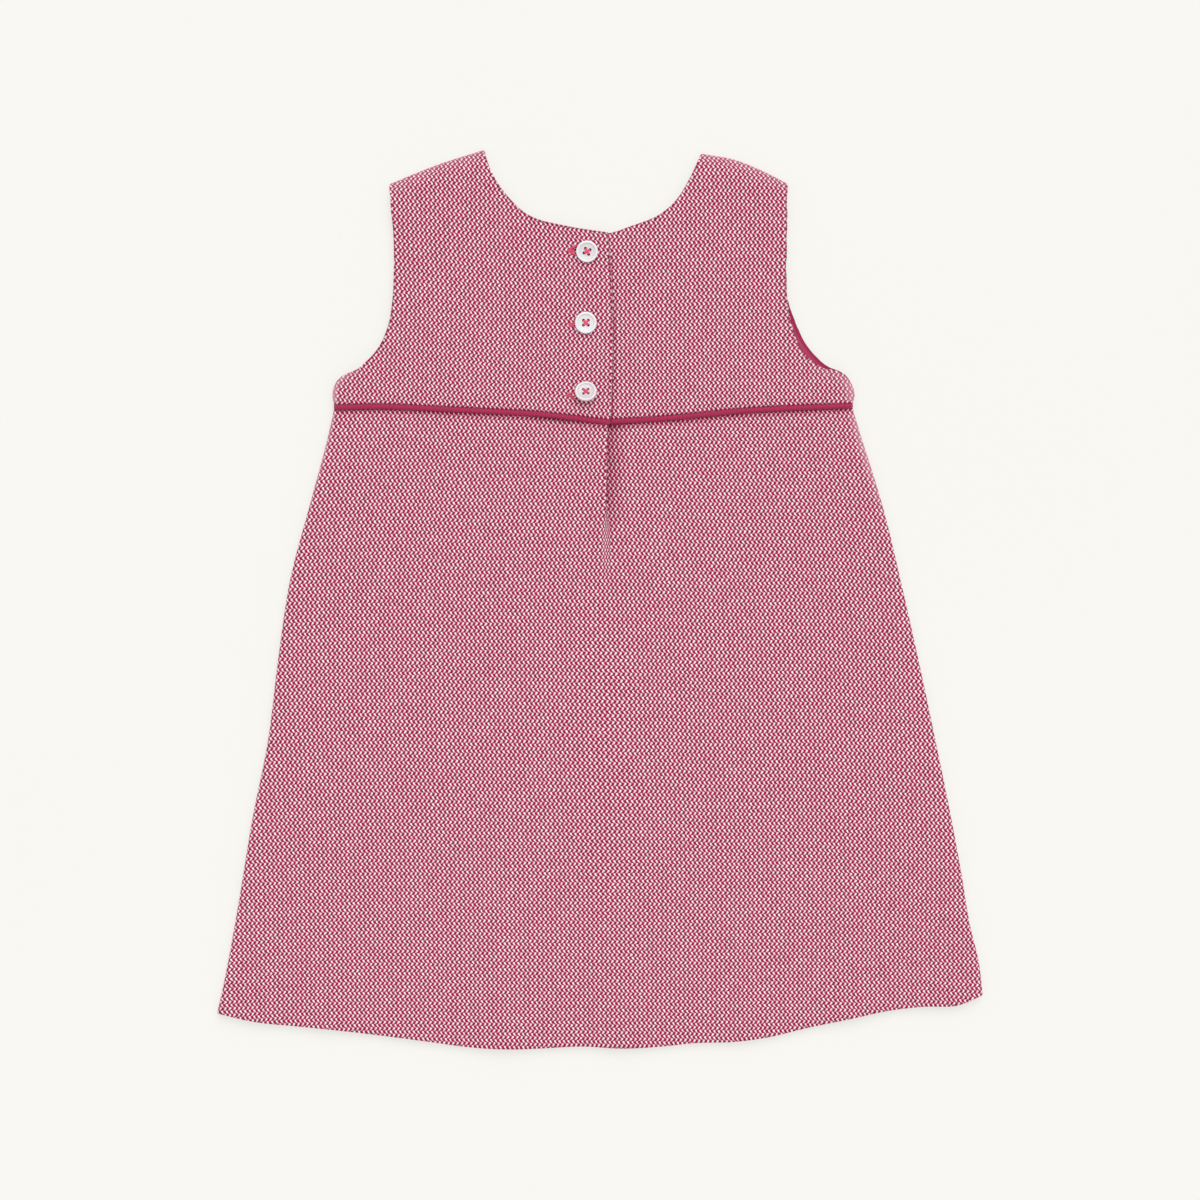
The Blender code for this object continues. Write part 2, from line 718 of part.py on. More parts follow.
def bend_round(top, inward):
    """The cord's last places at a side seam, from its top there round the side and down."""
    x, y, z = top
    places = []
    for turn in PIPING_BEND_TURNS:
        away, sink = math.cos(math.radians(turn)), 1 - math.sin(math.radians(turn))
        places.append((x - inward * PIPING_BEND * away, y, z - PIPING_BEND * sink))
    return places + [(x - inward * PIPING_BEND, y, PIPING_FOOT)]


def make_back_piping(finish, collection):
    reach = PIPING_BEND + PIPING_RADIUS - HALF_CLOTH    # from the cloth's middle to the bend
    left_x, right_x = WAIST_LEFT[0].x + reach, WAIST_RIGHT[-1].x - reach
    left = piping_route(WAIST_LEFT, left_half_level, left_x, WAIST_LEFT[-1].x)
    right = piping_route(WAIST_RIGHT, right_half_level, WAIST_RIGHT[0].x, right_x)
    under = [PIPING_LAP_DROP * bell((x - right[0][0]) / PIPING_LAP_REACH) for x, _, _ in right]
    right = [(x, y, z - drop) for (x, y, z), drop in zip(right, under)]
    left = bend_round(left[0], 1)[::-1] + left[1:]
    right = right[:-1] + bend_round(right[-1], -1)
    cord_object("back_piping_left", left, finish, collection)
    cord_object("back_piping_right", right, finish, collection)


def make_front_piping(finish, collection):
    """The cord in the front's waist seam, pressed flat where it lies on the table."""
    clear = 2 * EDGE
    line = level_line(WAIST_FRONT, WAIST_FRONT[0].x + clear, WAIST_FRONT[-1].x - clear)
    steps = 24
    route = [(*line(k / steps), FRONT_PIPING_MIDDLE) for k in range(steps + 1)]
    cord = cord_object("front_piping_cord", route, finish, collection)
    mesh = bpy.data.meshes.new_from_object(cord.evaluated_get(bpy.context.evaluated_depsgraph_get()))
    bpy.data.objects.remove(cord)
    work = bmesh.new()
    work.from_mesh(mesh)
    bmesh.ops.remove_doubles(work, verts=work.verts, dist=0.01 * MM)
    for vertex in work.verts:
        vertex.co.z = max(vertex.co.z, 0.0)
    work.to_mesh(mesh)
    work.free()
    mesh.name = "front_piping"
    collection.objects.link(bpy.data.objects.new("front_piping", mesh))


# ---------------------------------------------------------------------------- the buttons

def button_section():
    """Half a section of the button, at +X, for a Screw modifier to turn round Z."""
    section = bmesh.new()
    corners = [section.verts.new((p.radius * MM, 0.0, p.height * MM)) for p in BUTTON_SECTION]
    for first, second in zip(corners, corners[1:]):
        section.edges.new((first, second))
    mesh = bpy.data.meshes.new("button")
    section.to_mesh(mesh)
    section.free()
    return mesh


def drill(button, k, cutters):
    """One of the button's four holes."""
    turn = math.radians(45 + 90 * k)
    drill_bit = bmesh.new()
    bmesh.ops.create_cone(drill_bit, cap_ends=True, segments=HOLE_SIDES, radius1=HOLE_RADIUS * MM,
                          radius2=HOLE_RADIUS * MM, depth=10 * MM)
    middle = (HOLE_REACH * math.cos(turn) * MM, HOLE_REACH * math.sin(turn) * MM, 0.0)
    bmesh.ops.translate(drill_bit, verts=drill_bit.verts, vec=middle)
    mesh = bpy.data.meshes.new(f"{button.name}_hole_{k + 1}")
    drill_bit.to_mesh(mesh)
    drill_bit.free()
    cutter = bpy.data.objects.new(mesh.name, mesh)
    cutter.parent = button
    cutter.hide_render = True
    cutter.display_type = "WIRE"
    cutters.objects.link(cutter)
    cut = button.modifiers.new(mesh.name, "BOOLEAN")
    cut.operation = "DIFFERENCE"
    cut.object = cutter


def cloth_under(spot):
    """Top of the highest cloth under the part of the button that comes nearest to it."""
    reaches = (0.0, BUTTON_RADIUS) if spot.tilt else (-BUTTON_RADIUS, 0.0, BUTTON_RADIUS)
    return max(left_half_level(spot.x, spot.y + dy) for dy in reaches) + HALF_CLOTH


def make_button(name, spot, finish, collection, cutters):
    made = add_object(name, button_section(), finish, collection)
    screw = made.modifiers.new("turned", "SCREW")
    screw.steps = screw.render_steps = BUTTON_STEPS
    screw.use_merge_vertices = True
    screw.merge_threshold = 1e-5
    for k in range(4):
        drill(made, k, cutters)
    tilt = math.radians(spot.tilt)
    foot = BUTTON_FOOT_RADIUS * math.sin(tilt)     # how far the lowest edge is below the middle
    made.rotation_euler = (-tilt, 0.0, math.radians(spot.turn))
    made.location = np.array((spot.x, spot.y, cloth_under(spot) + SEAM + foot)) * MM


# ---------------------------------------------------------------------------- the whole dress

def main():
    for old in list(bpy.data.objects):
        bpy.data.objects.remove(old)
    dress = bpy.data.collections.new("pinafore_dress")
    cutters = bpy.data.collections.new("cutters")
    bpy.context.scene.collection.children.link(dress)
    bpy.context.scene.collection.children.link(cutters)
    tweed = material("tweed", TWEED_COLOUR, 0.9)
    plain = material("plain_cloth", PLAIN_COLOUR, 0.8)
    pearl = material("button_pearl", BUTTON_COLOUR, 0.25)
    make_front_skirt(tweed, dress)
    make_front_bodice(tweed, dress)
    make_facing(plain, dress)
    make_front_piping(plain, dress)
    make_back_skirt(tweed, dress)
    make_right_half(tweed, dress)
    make_left_half(tweed, dress)
    make_back_piping(plain, dress)
    for k, spot in enumerate(BUTTONS):
        make_button(f"button_{k + 1}", spot, pearl, dress, cutters)


main()
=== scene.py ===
"""A child's tweed pinafore dress, laid flat with its back up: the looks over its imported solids.

Tables are in millimetres and become metres where a mesh is made.
+X is to the right of someone who looks down on the back, +Y points to the neck, +Z up.
"""
import math
from collections import namedtuple

import bmesh
import bpy
import numpy as np
from bpy.props import FloatProperty, FloatVectorProperty, PointerProperty
from mathutils import Euler, Matrix, Vector


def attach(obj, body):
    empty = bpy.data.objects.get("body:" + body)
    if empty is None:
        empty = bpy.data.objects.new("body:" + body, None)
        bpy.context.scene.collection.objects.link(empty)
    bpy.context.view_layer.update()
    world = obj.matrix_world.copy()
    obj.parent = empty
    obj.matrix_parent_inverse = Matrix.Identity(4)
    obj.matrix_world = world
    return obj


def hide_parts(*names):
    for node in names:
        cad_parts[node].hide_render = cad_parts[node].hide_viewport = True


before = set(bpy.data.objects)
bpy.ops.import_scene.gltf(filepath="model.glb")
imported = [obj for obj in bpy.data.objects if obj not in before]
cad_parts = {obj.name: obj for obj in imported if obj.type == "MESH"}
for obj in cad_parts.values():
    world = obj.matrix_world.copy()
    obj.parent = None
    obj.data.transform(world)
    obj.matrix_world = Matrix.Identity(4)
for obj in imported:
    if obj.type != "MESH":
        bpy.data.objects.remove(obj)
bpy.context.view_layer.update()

bl_info = {
    "name": "Pinafore Dress",
    "version": (1, 0, 0),
    "blender": (4, 5, 0),
    "location": "3D View > Sidebar > Dress",
    "description": "Dresses the solids of a child's tweed pinafore that lies on a table",
    "category": "Object",
}

MM = 0.001

# ------------------------------------------------------------------ what the solids say

CLOTH = 1.2             # thickness of the tweed's solids
HALF_CLOTH = CLOTH / 2
FACING = 1.0
SEAM = 0.3
LAYER = CLOTH + SEAM
PIPING_RADIUS = 1.5
EDGE = PIPING_RADIUS + SEAM + 0.15   # a panel's solid stops this far from the middle of the piping
BUTTON_RADIUS = 6.35
LAP = 25.0

FRONT_LEVEL = HALF_CLOTH
FRONT_CURL = 1.2
FRONT_ROLL = 2.0
UNDERARM_Y = 130.0
UNDERARM_FADE = 11.0
SEAM_TILT = 0.55
BACK_REST = FRONT_LEVEL + FRONT_CURL + SEAM + SEAM_TILT
BACK_RISE = 2.2
LEFT_ROLL = 3.0
RIGHT_ROLL = 6.0
BACK_SINK = 1.0
SINK_REACH = 70.0
SHOULDER_REST = CLOTH + SEAM + HALF_CLOTH + 0.1
SHOULDER_REACH = 9.0
STAND_LEVEL = CLOTH + SEAM + HALF_CLOTH + 0.3
FRONT_PIPING_MIDDLE = 0.9
FRONT_PIPING_LIFT = 1.0
FRONT_PIPING_REACH = 9.0

Point = namedtuple("Point", "x y")
Mark = namedtuple("Mark", "y value")
Wave = namedtuple("Wave", "x_waist x_end half_width rise")
Dip = namedtuple("Dip", "x y_top y_foot lean half_width rise")
Pleat = namedtuple("Pleat", "y fold_x depth turn")
ButtonPlace = namedtuple("ButtonPlace", "x y turn tilt shade arm")
Profile = namedtuple("Profile", "radius height")
Lean = namedtuple("Lean", "y left right")
Slope = namedtuple("Slope", "x slope")
Turn = namedtuple("Turn", "out down")
Haze = namedtuple("Haze", "side y half_height reach haze")
Edge = namedtuple("Edge", "inset shade turns")
Bead = namedtuple("Bead", "thin thick lift")
Legs = namedtuple("Legs", "x y upper_x upper_y lower_x lower_y leg slit")
HemRow = namedtuple("HemRow", "share out down inside")
Change = namedtuple("Change", "turn share")
Fold = namedtuple("Fold", "start end change")
Wander = namedtuple("Wander", "scale across down")
Grain = namedtuple("Grain", "even_x odd_x even_breadth odd_breadth spread height tallest seed")
Spots = namedtuple("Spots", "x most least")

# Middle of the piping in the waist seam.
WAIST_LEFT = (
    Point(-153.8, 111.6), Point(-126.4, 112.1), Point(-98.6, 111.0), Point(-62.0, 109.2),
    Point(-38.0, 107.9), Point(-14.5, 105.4), Point(4.6, 103.0),
)
WAIST_RIGHT = (
    Point(5.3, 103.4), Point(27.3, 104.5), Point(53.4, 106.7), Point(75.4, 109.0),
    Point(103.2, 110.8), Point(146.1, 112.5),
)
WAIST_FRONT = (
    Point(-153.8, 111.6), Point(-80.0, 109.8), Point(0.0, 108.4), Point(80.0, 110.4),
    Point(146.1, 112.5),
)
FRONT_WAIST_MIDDLE = 108.4

# Outlines of the bodice, from the waist up: the short side seam and then the armhole.
ARMHOLE_LEFT = (
    Point(-153.8, 113.4), Point(-154.7, 119.0), Point(-151.6, 127.4), Point(-140.9, 133.4),
    Point(-128.8, 145.0), Point(-122.6, 158.5), Point(-119.8, 176.0), Point(-119.2, 192.0),
    Point(-119.4, 212.0), Point(-121.3, 231.0), Point(-121.8, 241.3),
)
ARMHOLE_RIGHT = (
    Point(146.1, 114.3), Point(147.2, 118.0), Point(145.9, 124.0), Point(141.0, 130.6),
    Point(128.2, 134.7), Point(117.7, 142.8), Point(111.6, 157.5), Point(108.4, 174.0),
    Point(107.9, 192.0), Point(108.2, 212.0), Point(108.4, 231.0), Point(108.5, 241.6),
)
FRONT_ARMHOLE_LEFT = (
    Point(-153.8, 113.4), Point(-154.7, 119.0), Point(-150.8, 127.2), Point(-139.4, 132.4),
    Point(-127.0, 143.8), Point(-120.9, 158.5), Point(-118.0, 176.0), Point(-118.0, 212.0),
    Point(-120.8, 231.0), Point(-121.8, 241.3),
)
FRONT_ARMHOLE_RIGHT = (
    Point(146.1, 114.3), Point(147.2, 118.0), Point(145.9, 124.0), Point(141.2, 131.0),
    Point(131.9, 135.3), Point(120.4, 146.6), Point(112.1, 163.4), Point(107.8, 178.0),
    Point(106.8, 194.0), Point(106.8, 212.0), Point(107.8, 231.0), Point(108.5, 241.6),
)
SIDE_SEAM_LEFT, SIDE_SEAM_RIGHT = 0.085, 0.11
FACING_FROM, FACING_TO = 0.14, 0.51
FACING_WIDTH = 9.0
FACING_BACK = 0.4        # the facing's flat part ends this far inside the front's edge

SHOULDER_LEFT = (Point(-121.8, 241.3), Point(-93.7, 252.6), Point(-67.3, 261.0))
SHOULDER_RIGHT = (Point(58.6, 258.9), Point(78.3, 255.2), Point(93.0, 249.4), Point(108.5, 241.6))
NECK_LEFT = (
    Point(-67.3, 261.0), Point(-62.8, 248.2), Point(-53.6, 234.3), Point(-42.4, 224.0),
    Point(-18.6, 216.9), Point(4.6, 213.3),
)
NECK_RIGHT = (
    Point(-18.6, 215.2), Point(-6.0, 212.6), Point(7.0, 213.3), Point(17.4, 216.8),
    Point(34.8, 223.9), Point(43.4, 231.2), Point(52.2, 244.8), Point(58.6, 258.9),
)
NECK_FRONT = (
    Point(-67.3, 261.0), Point(-60.5, 240.0), Point(-47.0, 218.0), Point(-26.0, 203.0),
    Point(-3.0, 199.0), Point(20.0, 203.5), Point(39.5, 219.0), Point(52.0, 240.0),
    Point(58.6, 258.9),
)
LAP_EDGE = (Point(6.4, 104.9), Point(7.2, 140.0), Point(7.2, 178.0), Point(4.6, 213.3))
STAND_EDGE = (Point(6.4 - LAP, 105.6), Point(-18.6, 215.2))
STAND_FOOT = Point(6.4 - LAP, 103.7)
# The two halves lie flat on each other between these places along X, and ease into the back
# on both sides of them.
LAP_FLAT_FROM, LAP_FLAT_TO = STAND_EDGE[0].x - 4.0, 8.0
LAP_EASE = 26.0
LAP_LIFT = 0.2

# Outlines of the skirt, from the waist down.
SKIRT_LEFT = (
    Point(-153.8, 109.7), Point(-157.7, 92.8), Point(-167.0, 58.0), Point(-179.2, 11.6),
    Point(-186.2, -34.8), Point(-192.0, -81.2), Point(-201.2, -127.6), Point(-208.8, -174.0),
    Point(-214.6, -206.8), Point(-221.3, -240.2),
)
SKIRT_RIGHT = (
    Point(146.1, 110.6), Point(151.5, 92.8), Point(157.2, 75.1), Point(164.1, 51.9),
    Point(173.8, 11.6), Point(184.2, -34.8), Point(194.0, -81.2), Point(203.4, -127.6),
    Point(208.8, -156.9), Point(214.0, -188.2), Point(219.4, -211.4), Point(221.3, -229.6),
)
HEM_BACK = (
    Point(-221.3, -240.2), Point(-201.5, -244.8), Point(-173.7, -247.7), Point(-145.9, -250.6),
    Point(-118.0, -254.0), Point(-97.0, -256.8), Point(-76.3, -259.6), Point(-51.0, -260.9),
    Point(-34.5, -260.4), Point(-10.5, -259.2), Point(12.0, -260.4), Point(35.1, -259.3),
    Point(55.0, -257.2), Point(76.8, -256.6), Point(97.0, -254.0), Point(118.6, -248.8),
    Point(146.4, -243.0), Point(165.0, -238.9), Point(188.2, -236.1), Point(208.0, -235.4),
    Point(221.3, -229.6),
)
HEM_FRONT = (
    Point(-221.3, -240.2), Point(-170.0, -244.6), Point(-90.0, -252.0), Point(0.0, -255.0),
    Point(90.0, -250.0), Point(170.0, -234.5), Point(221.3, -229.6),
)

SKIRT_WAVES = (
    Wave(x_waist=-108.0, x_end=-160.0, half_width=25.0, rise=1.0),
    Wave(x_waist=-46.0, x_end=-56.0, half_width=24.0, rise=1.6),
    Wave(x_waist=14.0, x_end=14.0, half_width=20.0, rise=1.3),
    Wave(x_waist=50.0, x_end=78.0, half_width=22.0, rise=1.0),
    Wave(x_waist=96.0, x_end=150.0, half_width=26.0, rise=1.4),
)
BODICE_WAVES = (
    Wave(x_waist=-100.0, x_end=-94.0, half_width=22.0, rise=0.5),
    Wave(x_waist=62.0, x_end=70.0, half_width=24.0, rise=0.5),
)
WAIST_Y, BODICE_HEIGHT, SKIRT_HEIGHT = 110.0, 130.0, 368.0
WAVE_AT_WAIST = 0.15
WAVE_INSET = 20.0

PLEAT = (
    Pleat(y=-262.0, fold_x=3.0, depth=0.0, turn=0.0),
    Pleat(y=8.0, fold_x=3.0, depth=0.0, turn=0.0),
    Pleat(y=30.0, fold_x=3.0, depth=0.0, turn=24.0),
    Pleat(y=44.0, fold_x=3.2, depth=0.0, turn=54.0),
    Pleat(y=54.0, fold_x=3.5, depth=0.0, turn=112.0),
    Pleat(y=66.0, fold_x=3.8, depth=0.2, turn=180.0),
    Pleat(y=84.0, fold_x=4.3, depth=2.4, turn=180.0),
    Pleat(y=110.0, fold_x=4.7, depth=4.2, turn=180.0),
)
PLEAT_TURN_STEPS = 6
PLEAT_LEVEL = BACK_REST
PLEAT_LEFT_REACH = 34.0
PLEAT_RIGHT_REACH = 13.0
LEAST_DEPTH = 0.02
PLEAT_CLOSING = 0.6      # how soon the pleat lies closed as its fold comes down

# shade paints a whole button: above nothing a painted shade with the dulled tint, below nothing a painted
# highlight that makes its face lighter.
BUTTONS = (
    ButtonPlace(x=-7.5, y=202.0, turn=-17.0, tilt=0.0, shade=0.0, arm=0.9),
    ButtonPlace(x=-8.2, y=160.7, turn=0.0, tilt=0.0, shade=-0.8, arm=0.9),
    ButtonPlace(x=-8.2, y=120.2, turn=3.0, tilt=28.0, shade=0.4, arm=0.8),
)
BUTTON_FOOT_RADIUS = 5.2
# The stitched end of each buttonhole that shows beside its button: its point, its two legs, how
# thick they are and how thick the dark slit between them is, a tube that paints the shadow in
# the opening.
BUTTONHOLES = (
    Legs(x=-19.0, y=202.2, upper_x=-12.9, upper_y=205.9, lower_x=-13.3, lower_y=199.9,
         leg=0.62, slit=0.95),
    Legs(x=-18.4, y=159.6, upper_x=-14.2, upper_y=161.2, lower_x=-14.2, lower_y=158.2,
         leg=0.45, slit=0.3),
    Legs(x=-20.0, y=118.7, upper_x=-14.6, upper_y=120.5, lower_x=-14.0, lower_y=116.6,
         leg=0.45, slit=0.3),
)

PIPING_LIFT = 0.8
PIPING_BEND = 2.6
PIPING_FOOT = 1.9
PIPING_LAP_DROP = 0.7
PIPING_LAP_REACH = 14.0

# ------------------------------------------------------------------ what only the looks have

SHELL = 0.9              # thickness of the tweed that shows
SHELL_INSET = HALF_CLOTH - SHELL / 2
FACING_SHELL = 0.5
FLOOR_GLOW = 0.7         # share of the floor's light that comes from below, as on a light table
FLOOR_GAP = 0.1          # between the floor and the front that lies on it
FLOOR_HALF = 3000.0
FLOOR_DIM = 0.985        # the floor's darkest patches beside its lightest
KEY_WIDTH, KEY_TILT, KEY_TURN = 50.0, -38.0, -14.0    # degrees
KEY_PLACE = (-0.3, 1.2, 1.5)                          # metres
CAMERA_SEES_TO = 20000.0
LAP_REACH = 2.2          # how far the lap's painted shadow reaches on the right half beside its edge
PIPING_SHADES = (0.8, 0.6, 0.1)   # of the piping's side to the bodice, from there upwards
BODICE_FOOT = (0.0, 0.3, 0.7)     # rows where the bodice meets the piping
FOOT_SHADE = 0.3
WAIST_SHADE = 0.5        # of the skirt under the piping
WAIST_SHADE_FROM, WAIST_SHADE_TO = -0.2, 1.6
FOLD_SHADE = 0.36        # of the valley beside the pleat's fold
FOLD_REACH = 12.0
FOLD_HAZE_X, FOLD_HAZE_WIDTH = -0.4, 1.9              # of the paler stripe along the fold's top
FACING_RIM = 1.4         # width of the painted shade on the rim where the facing rolls over
FACING_SHADE = 0.4
FACING_HAZE = 0.12
FACING_NARROW = 0.12     # the facing's width at its ends, as a share of its width
FACING_FULLNESS = 0.7
SHOULDER_TURN = 7.5      # width of the cloth that turns down towards a shoulder
SHOULDER_ADDED = 2.0     # how much longer it is along the cloth than across the table
SHOULDER_HAZE = 0.28
CELL = 3.0               # size of a panel's mesh cells
HEM_DEPTH = 35.0
HEM_RADIUS = 0.5
HEM_RISE = 1.3           # the cloth's fold ends at the outline, so its middle is set in
HEM_RISE_FROM = 0.96
SIDE_INSET = 2.5         # the turned-up hem stays this far inside the side seams
HEM_TURNS = (30, 60, 90, 120, 150)
HEM_INSIDE = (0.5, 3.0, 8.0, 16.0, 25.0, HEM_DEPTH)   # rows of the hem's inside, from its fold
EDGE_SAMPLES = 96
EVERY_MM = np.arange(-300.0, 300.5, 1.0)
SAME_PLACE = 0.001
TINY = 1e-9
LONGEST_MITRE = 1.5      # a corner goes out at most this much further than its two edges
SIDE_MARGIN = 0.02       # the sides' edge goes on past the side seam, as a share of the height
RIM_TURNS = (0.0, 15.0, 30.0, 45.0, 60.0, 75.0, 90.0)
PIPING_TURNS = (90, 75, 60, 45, 30, 15, 2)            # of the piping round a side
PIPING_SIDES = 16
CORD_END_STEPS = 4
FRONT_PIPING_STEPS = 100
FACING_STEPS = 60
NEARBY = 0.01            # share of an edge over which its way is measured
FOLD_SHOWN = 4           # the pleat's last columns, which come out from under its fold
PIPING_STEP = 2.5

# Rows and columns that are closer than CELL: distances from an edge, a fold or the shoulder.
ROWS_TO_SHOULDER = (9.0, 7.0, 5.0, 3.5, 2.0, 1.0, 0.0)
COLUMNS_TO_LAP = (3.0, 2.0, 1.2, 0.5, 0.0)
COLUMNS_TO_FOLD = (30.0, 27.0, 24.0, 21.0, 18.0, 15.0, 12.5, 10.0, 8.0, 6.0, 4.5, 3.0, 2.0, 1.0)
COLUMNS_FROM_FOLD = (4.0, 5.5, 7.0, 9.0, 11.0, 13.0, 15.5, 18.0, 21.0, 24.0)
FACING_SHARES = (1.0, 0.8, 0.6, 0.45, 0.32, 0.2, 0.1, 0.04, 0.0)

# How the cloth goes on at the border of a panel: out of it in its plane and down behind it. The
# border is set in first, so that the roll ends at the outline, and has a painted shade of its own;
# below nothing the roll is painted paler, partly pressed-together yarn and partly a painted light
# that lifts the shade of its steep side.
FREE_EDGE = Edge(1.0, -0.35, (
    Turn(0.22, 0.06), Turn(0.39, 0.22), Turn(0.45, 0.45), Turn(0.39, 0.68), Turn(0.22, 0.84),
    Turn(0.0, 0.9), Turn(-3.0, 0.9), Turn(-8.0, 0.9),
))
OVERLAP_EDGE = Edge(0.9, -0.25, FREE_EDGE.turns)
WAIST_EDGE = Edge(0.0, 0.9, (
    Turn(0.3, 0.05), Turn(0.6, 0.2), Turn(0.8, 0.5), Turn(0.9, 0.9), Turn(0.9, 1.3),
    Turn(0.8, 1.7), Turn(0.6, 2.0), Turn(0.3, 2.2),
))
SIDE_EDGE = Edge(0.0, 0.0, (
    Turn(0.0, 0.1), Turn(-0.05, 0.2), Turn(-0.12, 0.28), Turn(-0.25, 0.33), Turn(-0.5, 0.35),
    Turn(-1.0, 0.35), Turn(-2.5, 0.35), Turn(-5.0, 0.35),
))
SHOULDER_EDGE = Edge(1.0, -0.5, (
    Turn(0.2, 0.04), Turn(0.38, 0.15), Turn(0.5, 0.33), Turn(0.52, 0.5), Turn(0.45, 0.65),
    Turn(0.2, 0.75), Turn(-2.0, 0.75), Turn(-6.0, 0.75),
))
FACING_EDGE = Edge(0.0, 0.5, (
    Turn(0.12, 0.02), Turn(0.24, 0.1), Turn(0.32, 0.25), Turn(0.34, 0.5), Turn(0.34, 0.8),
    Turn(0.34, 1.1), Turn(0.32, 1.4), Turn(0.3, 1.7),
))
RAW_EDGE = Edge(0.0, 0.0, tuple(Turn(0.04 * step, 0.0) for step in range(1, 9)))

# Small dips and rises of the back that no solid has.
SKIRT_DIPS = (
    Dip(x=-162.0, y_top=60.0, y_foot=-120.0, lean=0.02, half_width=14.0, rise=-0.5),
    Dip(x=-99.0, y_top=0.0, y_foot=-130.0, lean=-0.03, half_width=12.0, rise=-0.4),
    Dip(x=142.0, y_top=104.0, y_foot=20.0, lean=0.05, half_width=12.0, rise=-0.5),
    Dip(x=162.0, y_top=30.0, y_foot=-90.0, lean=0.04, half_width=13.0, rise=-0.5),
    Dip(x=194.0, y_top=-130.0, y_foot=-235.0, lean=0.06, half_width=12.0, rise=-0.5),
    Dip(x=-20.0, y_top=20.0, y_foot=-190.0, lean=-0.02, half_width=18.0, rise=0.4),
    Dip(x=60.0, y_top=-40.0, y_foot=-250.0, lean=0.05, half_width=15.0, rise=-0.4),
)
BODICE_DIPS = (
    Dip(x=-60.0, y_top=236.0, y_foot=140.0, lean=0.1, half_width=20.0, rise=-0.35),
    Dip(x=-112.0, y_top=170.0, y_foot=118.0, lean=-0.3, half_width=12.0, rise=-0.4),
    Dip(x=100.0, y_top=170.0, y_foot=118.0, lean=0.3, half_width=12.0, rise=-0.4),
    Dip(x=44.0, y_top=210.0, y_foot=120.0, lean=0.0, half_width=16.0, rise=-0.3),
)
FRONT_DIPS = (
    Dip(x=-90.0, y_top=90.0, y_foot=-230.0, lean=-0.12, half_width=24.0, rise=0.35),
    Dip(x=20.0, y_top=60.0, y_foot=-240.0, lean=0.02, half_width=20.0, rise=0.3),
    Dip(x=120.0, y_top=80.0, y_foot=-220.0, lean=0.15, half_width=22.0, rise=0.35),
    Dip(x=-60.0, y_top=200.0, y_foot=124.0, lean=0.1, half_width=18.0, rise=0.3),
    Dip(x=70.0, y_top=210.0, y_foot=124.0, lean=-0.1, half_width=18.0, rise=0.3),
)

# How the columns of the weave lean on their way down, left and right of the pleat, and how
# the rows slope on their way to the right.
SKIRT_LEANS = (
    Lean(y=112.0, left=-0.105, right=0.08), Lean(y=64.0, left=-0.097, right=0.09),
    Lean(y=35.0, left=-0.087, right=0.10), Lean(y=0.0, left=-0.035, right=0.065),
    Lean(y=-35.0, left=0.015, right=0.032), Lean(y=-70.0, left=0.035, right=0.028),
    Lean(y=-104.0, left=0.05, right=0.038), Lean(y=-139.0, left=0.033, right=0.02),
    Lean(y=-174.0, left=0.012, right=-0.02), Lean(y=-203.0, left=0.01, right=-0.01),
    Lean(y=-226.0, left=0.0, right=0.0),
)
BODICE_LEANS = (
    Lean(y=241.0, left=-0.03, right=0.06), Lean(y=217.0, left=0.03, right=-0.02),
    Lean(y=203.0, left=0.05, right=-0.035), Lean(y=188.0, left=0.03, right=-0.005),
    Lean(y=174.0, left=0.03, right=-0.03), Lean(y=159.0, left=-0.04, right=0.0),
    Lean(y=145.0, left=-0.03, right=0.012), Lean(y=130.0, left=-0.02, right=0.012),
    Lean(y=112.0, left=-0.09, right=0.012),
)
SKIRT_SLOPES = (
    Slope(-186.0, -0.06), Slope(-162.0, -0.03), Slope(-139.0, -0.02), Slope(-116.0, 0.0),
    Slope(-93.0, 0.045), Slope(-70.0, 0.015), Slope(-6.0, 0.015), Slope(23.0, 0.01),
    Slope(46.0, 0.04), Slope(70.0, 0.02), Slope(93.0, -0.03), Slope(116.0, 0.0),
    Slope(139.0, 0.06), Slope(162.0, 0.05), Slope(186.0, 0.07),
)
BODICE_SLOPES = (
    Slope(-102.0, 0.14), Slope(-87.0, 0.16), Slope(-72.0, 0.15), Slope(-58.0, 0.08),
    Slope(0.0, 0.09), Slope(14.0, 0.0), Slope(29.0, 0.02), Slope(44.0, -0.05),
    Slope(58.0, -0.05), Slope(72.0, 0.03), Slope(87.0, 0.01), Slope(102.0, 0.02),
)
# How dark the lap's painted shadow is on the right half, from the waist up.
LAP_SHADES = (Mark(112.0, 0.55), Mark(160.0, 0.5), Mark(185.0, 0.15), Mark(213.0, 0.0))
# How much of the shade beside the pleat's fold there is, and how hazy the fold is, up the skirt.
FOLD_SHADES = (Mark(38.0, 0.0), Mark(62.0, 0.8), Mark(112.0, 1.0))
FOLD_HAZES = (Mark(16.0, 0.0), Mark(26.0, 0.1), Mark(38.0, 0.12), Mark(52.0, 0.0))
# Height of a pair of rows, as a share of its usual height, from the hem to the shoulders.
ROW_SHARES = (
    Mark(-226.0, 0.95), Mark(-203.0, 0.94), Mark(-174.0, 0.95), Mark(-139.0, 0.97),
    Mark(-104.0, 1.01), Mark(87.0, 1.01), Mark(120.0, 0.97), Mark(159.0, 0.96),
    Mark(174.0, 1.01), Mark(241.0, 1.0),
)
# Half of the width over which the columns change from the left lean to the right one.
LEAN_CHANGE = (Mark(-262.0, 23.0), Mark(8.0, 23.0), Mark(23.0, 14.0), Mark(40.0, 2.5),
               Mark(112.0, 2.5))
LEAN_SHARPENING = 9.0
# Share of the way through the pleat over which the weave goes from its left part's place to its
# right part's, by how many degrees the fold is turned.
WEAVE_CHANGES = (Change(54.0, 1.0), Change(112.0, 0.15))
NO_FOLD = Fold(0, 1, None)           # all columns but the first count as right of it

